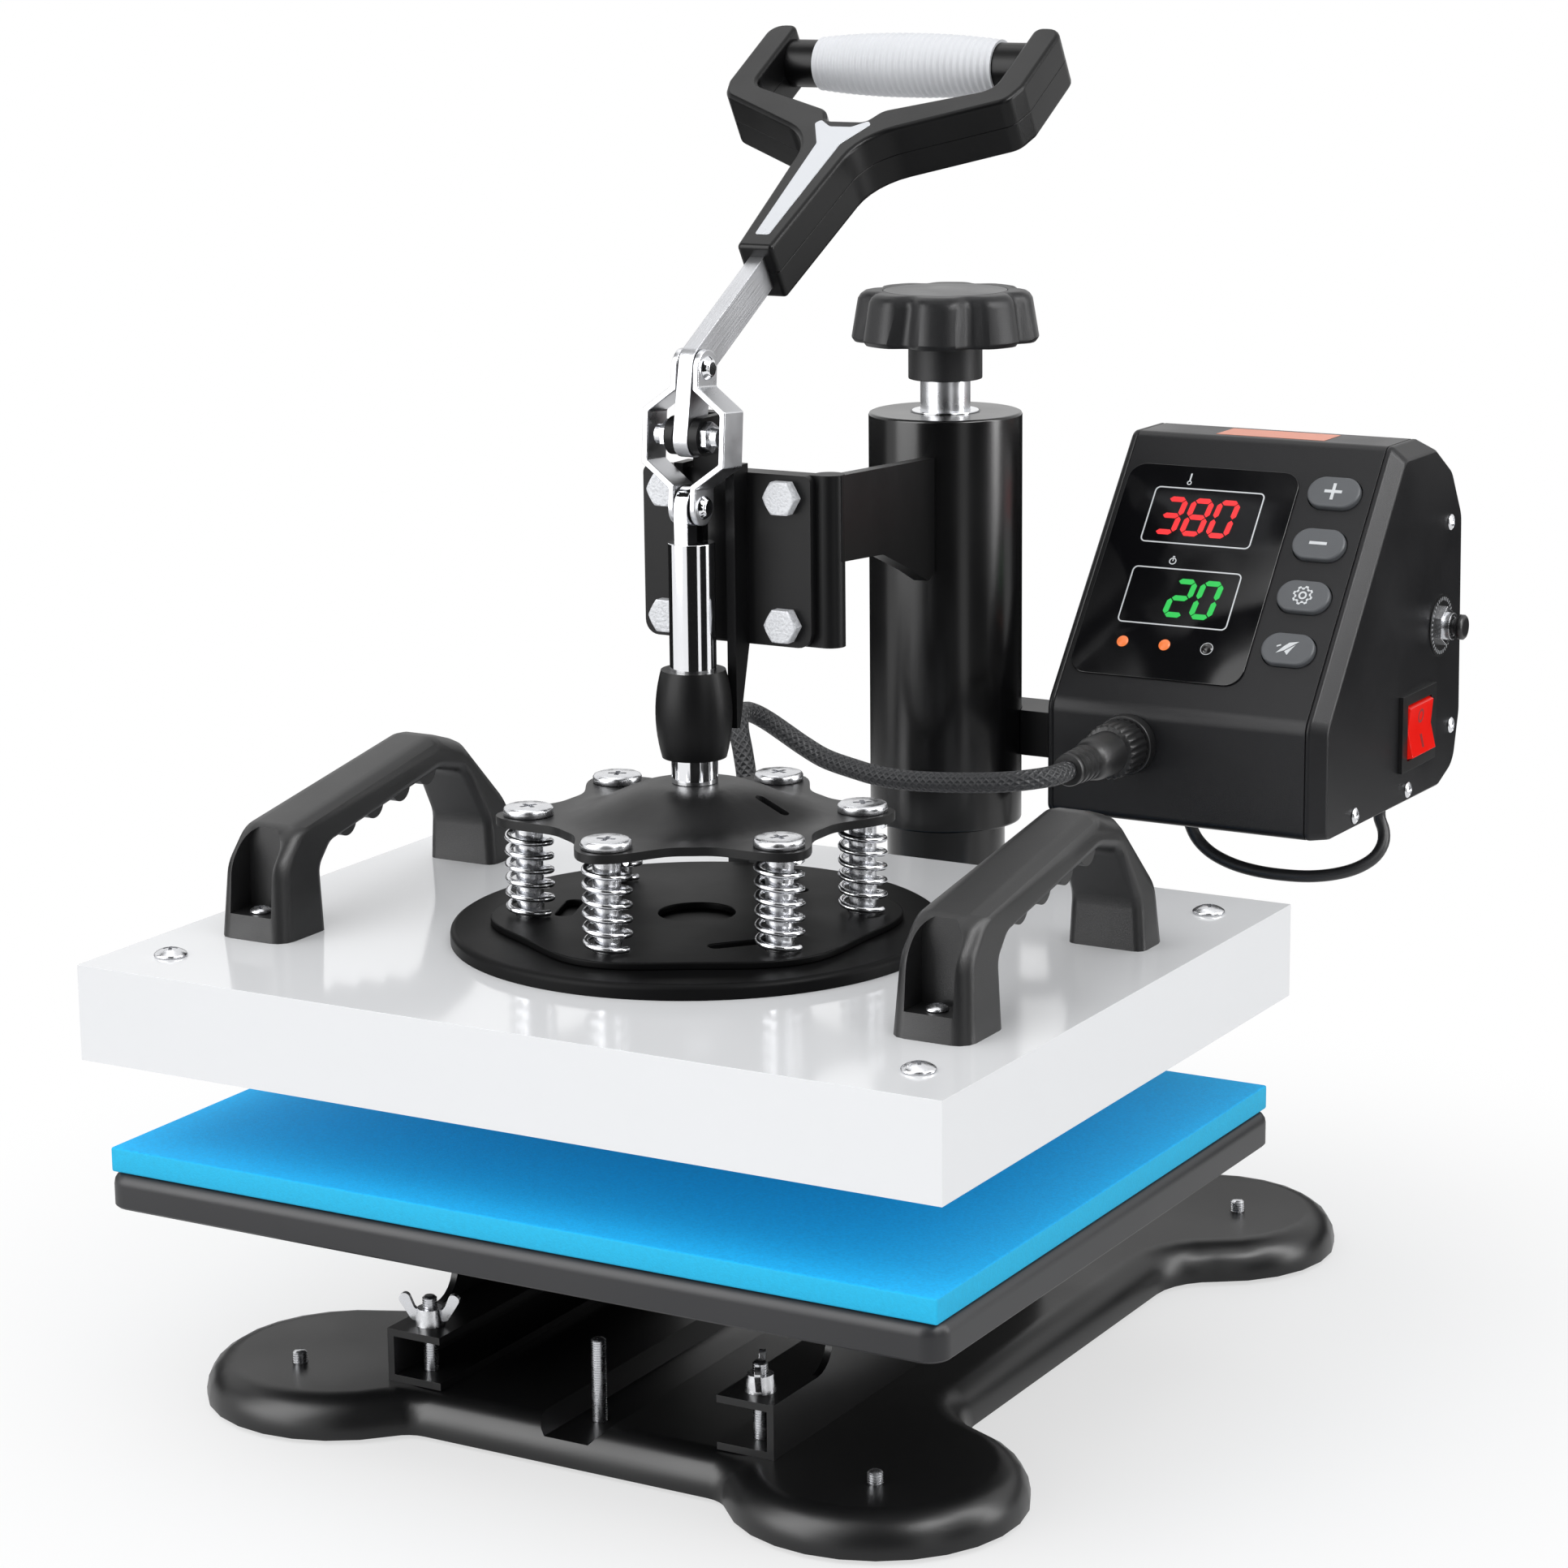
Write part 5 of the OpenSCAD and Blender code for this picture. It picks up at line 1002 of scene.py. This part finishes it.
def figures(digits, x, y, w=8.2, h=16.5, t=2.5, gap=0.35, apart=4.2, slant=0.12):
    """Seven-segment figures, leaning a little to the right"""
    made = []
    bars = {"a": ((0, h), (w, h)), "b": ((w, h), (w, h / 2)), "c": ((w, h / 2), (w, 0)),
            "d": ((0, 0), (w, 0)), "e": ((0, h / 2), (0, 0)), "f": ((0, h), (0, h / 2)),
            "g": ((0, h / 2), (w, h / 2))}
    for k, digit in enumerate(digits):
        for name in segment_map[digit]:
            (ax, ay), (bx, by) = bars[name]
            d = Vector((bx - ax, by - ay)).normalized()
            n = Vector((-d.y, d.x)) * t / 2
            a, b = Vector((ax, ay)) + d * gap, Vector((bx, by)) - d * gap
            ring = [a, a + d * t / 2 - n, b - d * t / 2 - n, b, b - d * t / 2 + n, a + d * t / 2 + n]
            made.append([(x + k * (w + apart) + p.x + p.y * slant, y + p.y) for p in ring])
    return made


red_glow = glow("red_glow", from_screen(232, 32, 38), 0.95)
green_glow = glow("green_glow", from_screen(20, 184, 72), 0.9)
plates("heat_figures", figures("380", 76, 86.8), on_window, figure_thick, red_glow, "arm")
plates("time_figures", figures("20", 92, 46.8), on_window, figure_thick, green_glow, "arm")

lamp_amber = glow("amber_lamp", from_screen(250, 128, 60), 0.7)
lamp_dark = finish("unlit_lamp", from_screen(26, 24, 24), 0.2, fine=300, bump=0.0)
lamps = dress("status_lights", 0, lamp_amber)
lamps.data.materials.append(lamp_dark)
unlit_from = 0.106
for face in lamps.data.polygons:
    face.material_index = 1 if face.center.x > unlit_from else 0
key_rubber = finish("key_rubber", from_screen(92, 94, 97), 0.5, fine=1500, broad=60, bump=0.06,
                    level=0.35)
for key in ("button_plus", "button_minus", "button_set", "button_start"):
    dress(key, 0.0011, key_rubber, segments=3)

key_middle, key_pitch, key_x, key_top = 73.5, 25.6, 0.153, 0.00262
key_u = [key_middle + (1.5 - i) * key_pitch for i in range(4)]
sign_long, sign_line = 8, 1.4
arm_long, arm_out = (sign_long - sign_line) / 2, (sign_long + sign_line) / 4
signs = {
    "plus_key": [bar_of(0, 0, sign_long, sign_line), bar_of(0, arm_out, sign_line, arm_long),
                 bar_of(0, -arm_out, sign_line, arm_long)],
    "minus_key": [bar_of(0, 0, sign_long, sign_line)],
    "set_key": [[[(r * cos(pi * k / 32), r * sin(pi * k / 32)) for k in range(64)
                  for r in [(4.6 if (k // 4) % 2 else 3.7) - inset]] for inset in (0, 0.9)],
                [[(r * cos(pi * k / 16), r * sin(pi * k / 16)) for k in range(32)]
                 for r in (1.9, 1.1)]],
    "start_key": [[(-4.5, -2.6), (-1.2, -1.2), (4.6, 3.4), (0.4, 2.6), (-1.6, 0.8)],
                  [(-0.9, -1.6), (0.6, -3.2), (2.0, -0.4), (3.4, 1.8)],
                  [(-4.8, 0.2), (-3.0, 1.0), (-3.2, 1.6), (-5.0, 0.8)]],
}
for body, u in zip(signs, key_u):
    spot = panel_place @ Matrix.Translation((key_x, u * mm, key_top))
    plates(body + "_sign", signs[body], spot, print_thick, print_white, body)

# Top patch: a plain salmon-coloured sheet stuck on the box's top edge,
# thin enough to lie flat on the paint.
patch_salmon = finish("bare_patch", from_screen(233, 150, 124), 0.5, fine=900, bump=0.02, drift=0.03)
box_top, patch_thick = 357.5, 0.00015
patch_place = Matrix.Translation(at(0, 0, box_top))
plates("top_patch", [bar_of(113.5, 311.5, 51, 19)], patch_place, patch_thick, patch_salmon, "arm")

# Right side: a red rocker with darker marks in a black bezel, and over it the hex bush
# of the reset breaker with its ribbed black button and a round plate with ticks behind.
bezel_black = finish("bezel_plastic", from_screen(24, 24, 25), 0.36, fine=1200, bump=0.05)
rocker_red = finish("rocker_red", from_screen(232, 20, 12), 0.2, fine=400, broad=60, bump=0.01,
                    drift=0.06)
rocker_lit = rocker_red.node_tree.nodes["Principled BSDF"]
preset(rocker_lit, {"Emission Color": from_screen(255, 30, 10), "Emission Strength": 0.18})
dress("rocker_bezel", 0.0007, bezel_black)
dress("rocker_switch", 0.0006, rocker_red)
rocker_x, rocker_y, rocker_z, mark_thick = 178, 318, 231, 0.0001
rocker_mark = finish("rocker_mark", from_screen(150, 8, 8), 0.4, fine=400, bump=0.0)
for name, lower, upper, shape in (("rocker_bar", (4.5, -11.1), (2, 0), [bar_of(0, 0, 2.2, 6)]),
                                  ("rocker_ring", (2, 0), (3, 11.1), [ring_of(0, 0, 3.2, 1.1)])):
    slope = Vector((upper[0] - lower[0], 0, upper[1] - lower[1])).normalized()
    out = Vector((slope.z, 0, -slope.x))
    middle = at(rocker_x + (lower[0] + upper[0]) / 2, rocker_y, rocker_z + (lower[1] + upper[1]) / 2)
    facing = Matrix(((0, slope.x, out.x), (1, 0, 0), (0, slope.z, out.z))).to_4x4()
    plates(name, shape, Matrix.Translation(middle) @ facing, mark_thick, rocker_mark, "rocker")

reset_place = turned(at(178, 346, 272), 90, "Y")
reset_r, reset_wall, reset_thick = 14, 7.6, 0.0006
reset_ring = ring_of(0, 0, reset_r, reset_wall, steps=72)
plates("reset_plate", [reset_ring], reset_place, reset_thick, bezel_black, "arm")
tick_grey = finish("tick_grey", from_screen(150, 151, 153), 0.5, fine=900, bump=0.02)
tick_count, tick_in, tick_out, tick_half = 36, 11.2, 12.8, 0.035
tick_corners = ((tick_in, -tick_half), (tick_out, -tick_half), (tick_out, tick_half), (tick_in, tick_half))
ticks = []
for k in range(tick_count):
    a = 2 * pi * k / tick_count
    ticks.append([(r * cos(a + s), r * sin(a + s)) for r, s in tick_corners])
on_reset = reset_place @ Matrix.Translation((0, 0, reset_thick))
plates("reset_ticks", ticks, on_reset, mark_thick, tick_grey, "arm")
dress("breaker_body", 0.0005, zinc, angle=40)
stem_r, cap_r, groove_r = 0.0037, 0.0056, 0.0051
cap_line = [(stem_r, 0.0018), (stem_r, 0.0082), (0.0053, 0.0083), (cap_r, 0.0086), (cap_r, 0.0092),
            (groove_r, 0.0094), (groove_r, 0.0097), (cap_r, 0.0099), (cap_r, 0.0108), (0.005, 0.0114),
            (0.0034, 0.0117)]
seat(lathe("reset_cap", cap_line, [reset_place], bezel_black, sides=48), "breaker_button")

# Cable plug: a screwed round connector in black nylon on a flanged socket in the box's front,
# with a fluted coupling nut and a ribbed boot over the flex.
dress("panel_socket", 0.0006, gland_black)
boot = [(0.0046, 0.0), (0.0066, 0.0002), (0.007, 0.001)]
boot_rib = ((0.007, 0.0), (0.0063, 0.0006), (0.0063, 0.002), (0.0071, 0.0026))
boot_ribs, first_rib, rib_pitch, rib_growth = 4, 0.003, 0.0046, 0.0002
for k in range(boot_ribs):
    boot += [(r + rib_growth * k, first_rib + z + rib_pitch * k) for r, z in boot_rib]
boot += [(0.0085, 0.0215), (0.0094, 0.026), (0.0095, 0.0385), (0.0112, 0.039), (0.012, 0.0397, 0.0009),
         (0.012, 0.0532, 0.0009), (0.0112, 0.054)]
plug_place = turned(plug_face, -90, "X")
seat(lathe("screwed_plug", boot, [plug_place], gland_black, sides=144, flutes=24), "cable_plug")

# Mains inlet: a moulded socket let into the box's back,
# with three plated blades standing in its recess.
dress("mains_inlet", 0.0006, bezel_black)
inlet_floor = turned(at(114, 357, 261), -90, "X")
blade_wide, blade_tall, blade_out = 2, 6, 0.013
blades = [bar_of(x, y, blade_wide, blade_tall) for x, y in ((0, -3.6), (-7, 3), (7, 3))]
plates("inlet_blades", blades, inlet_floor, blade_out, zinc, "arm")
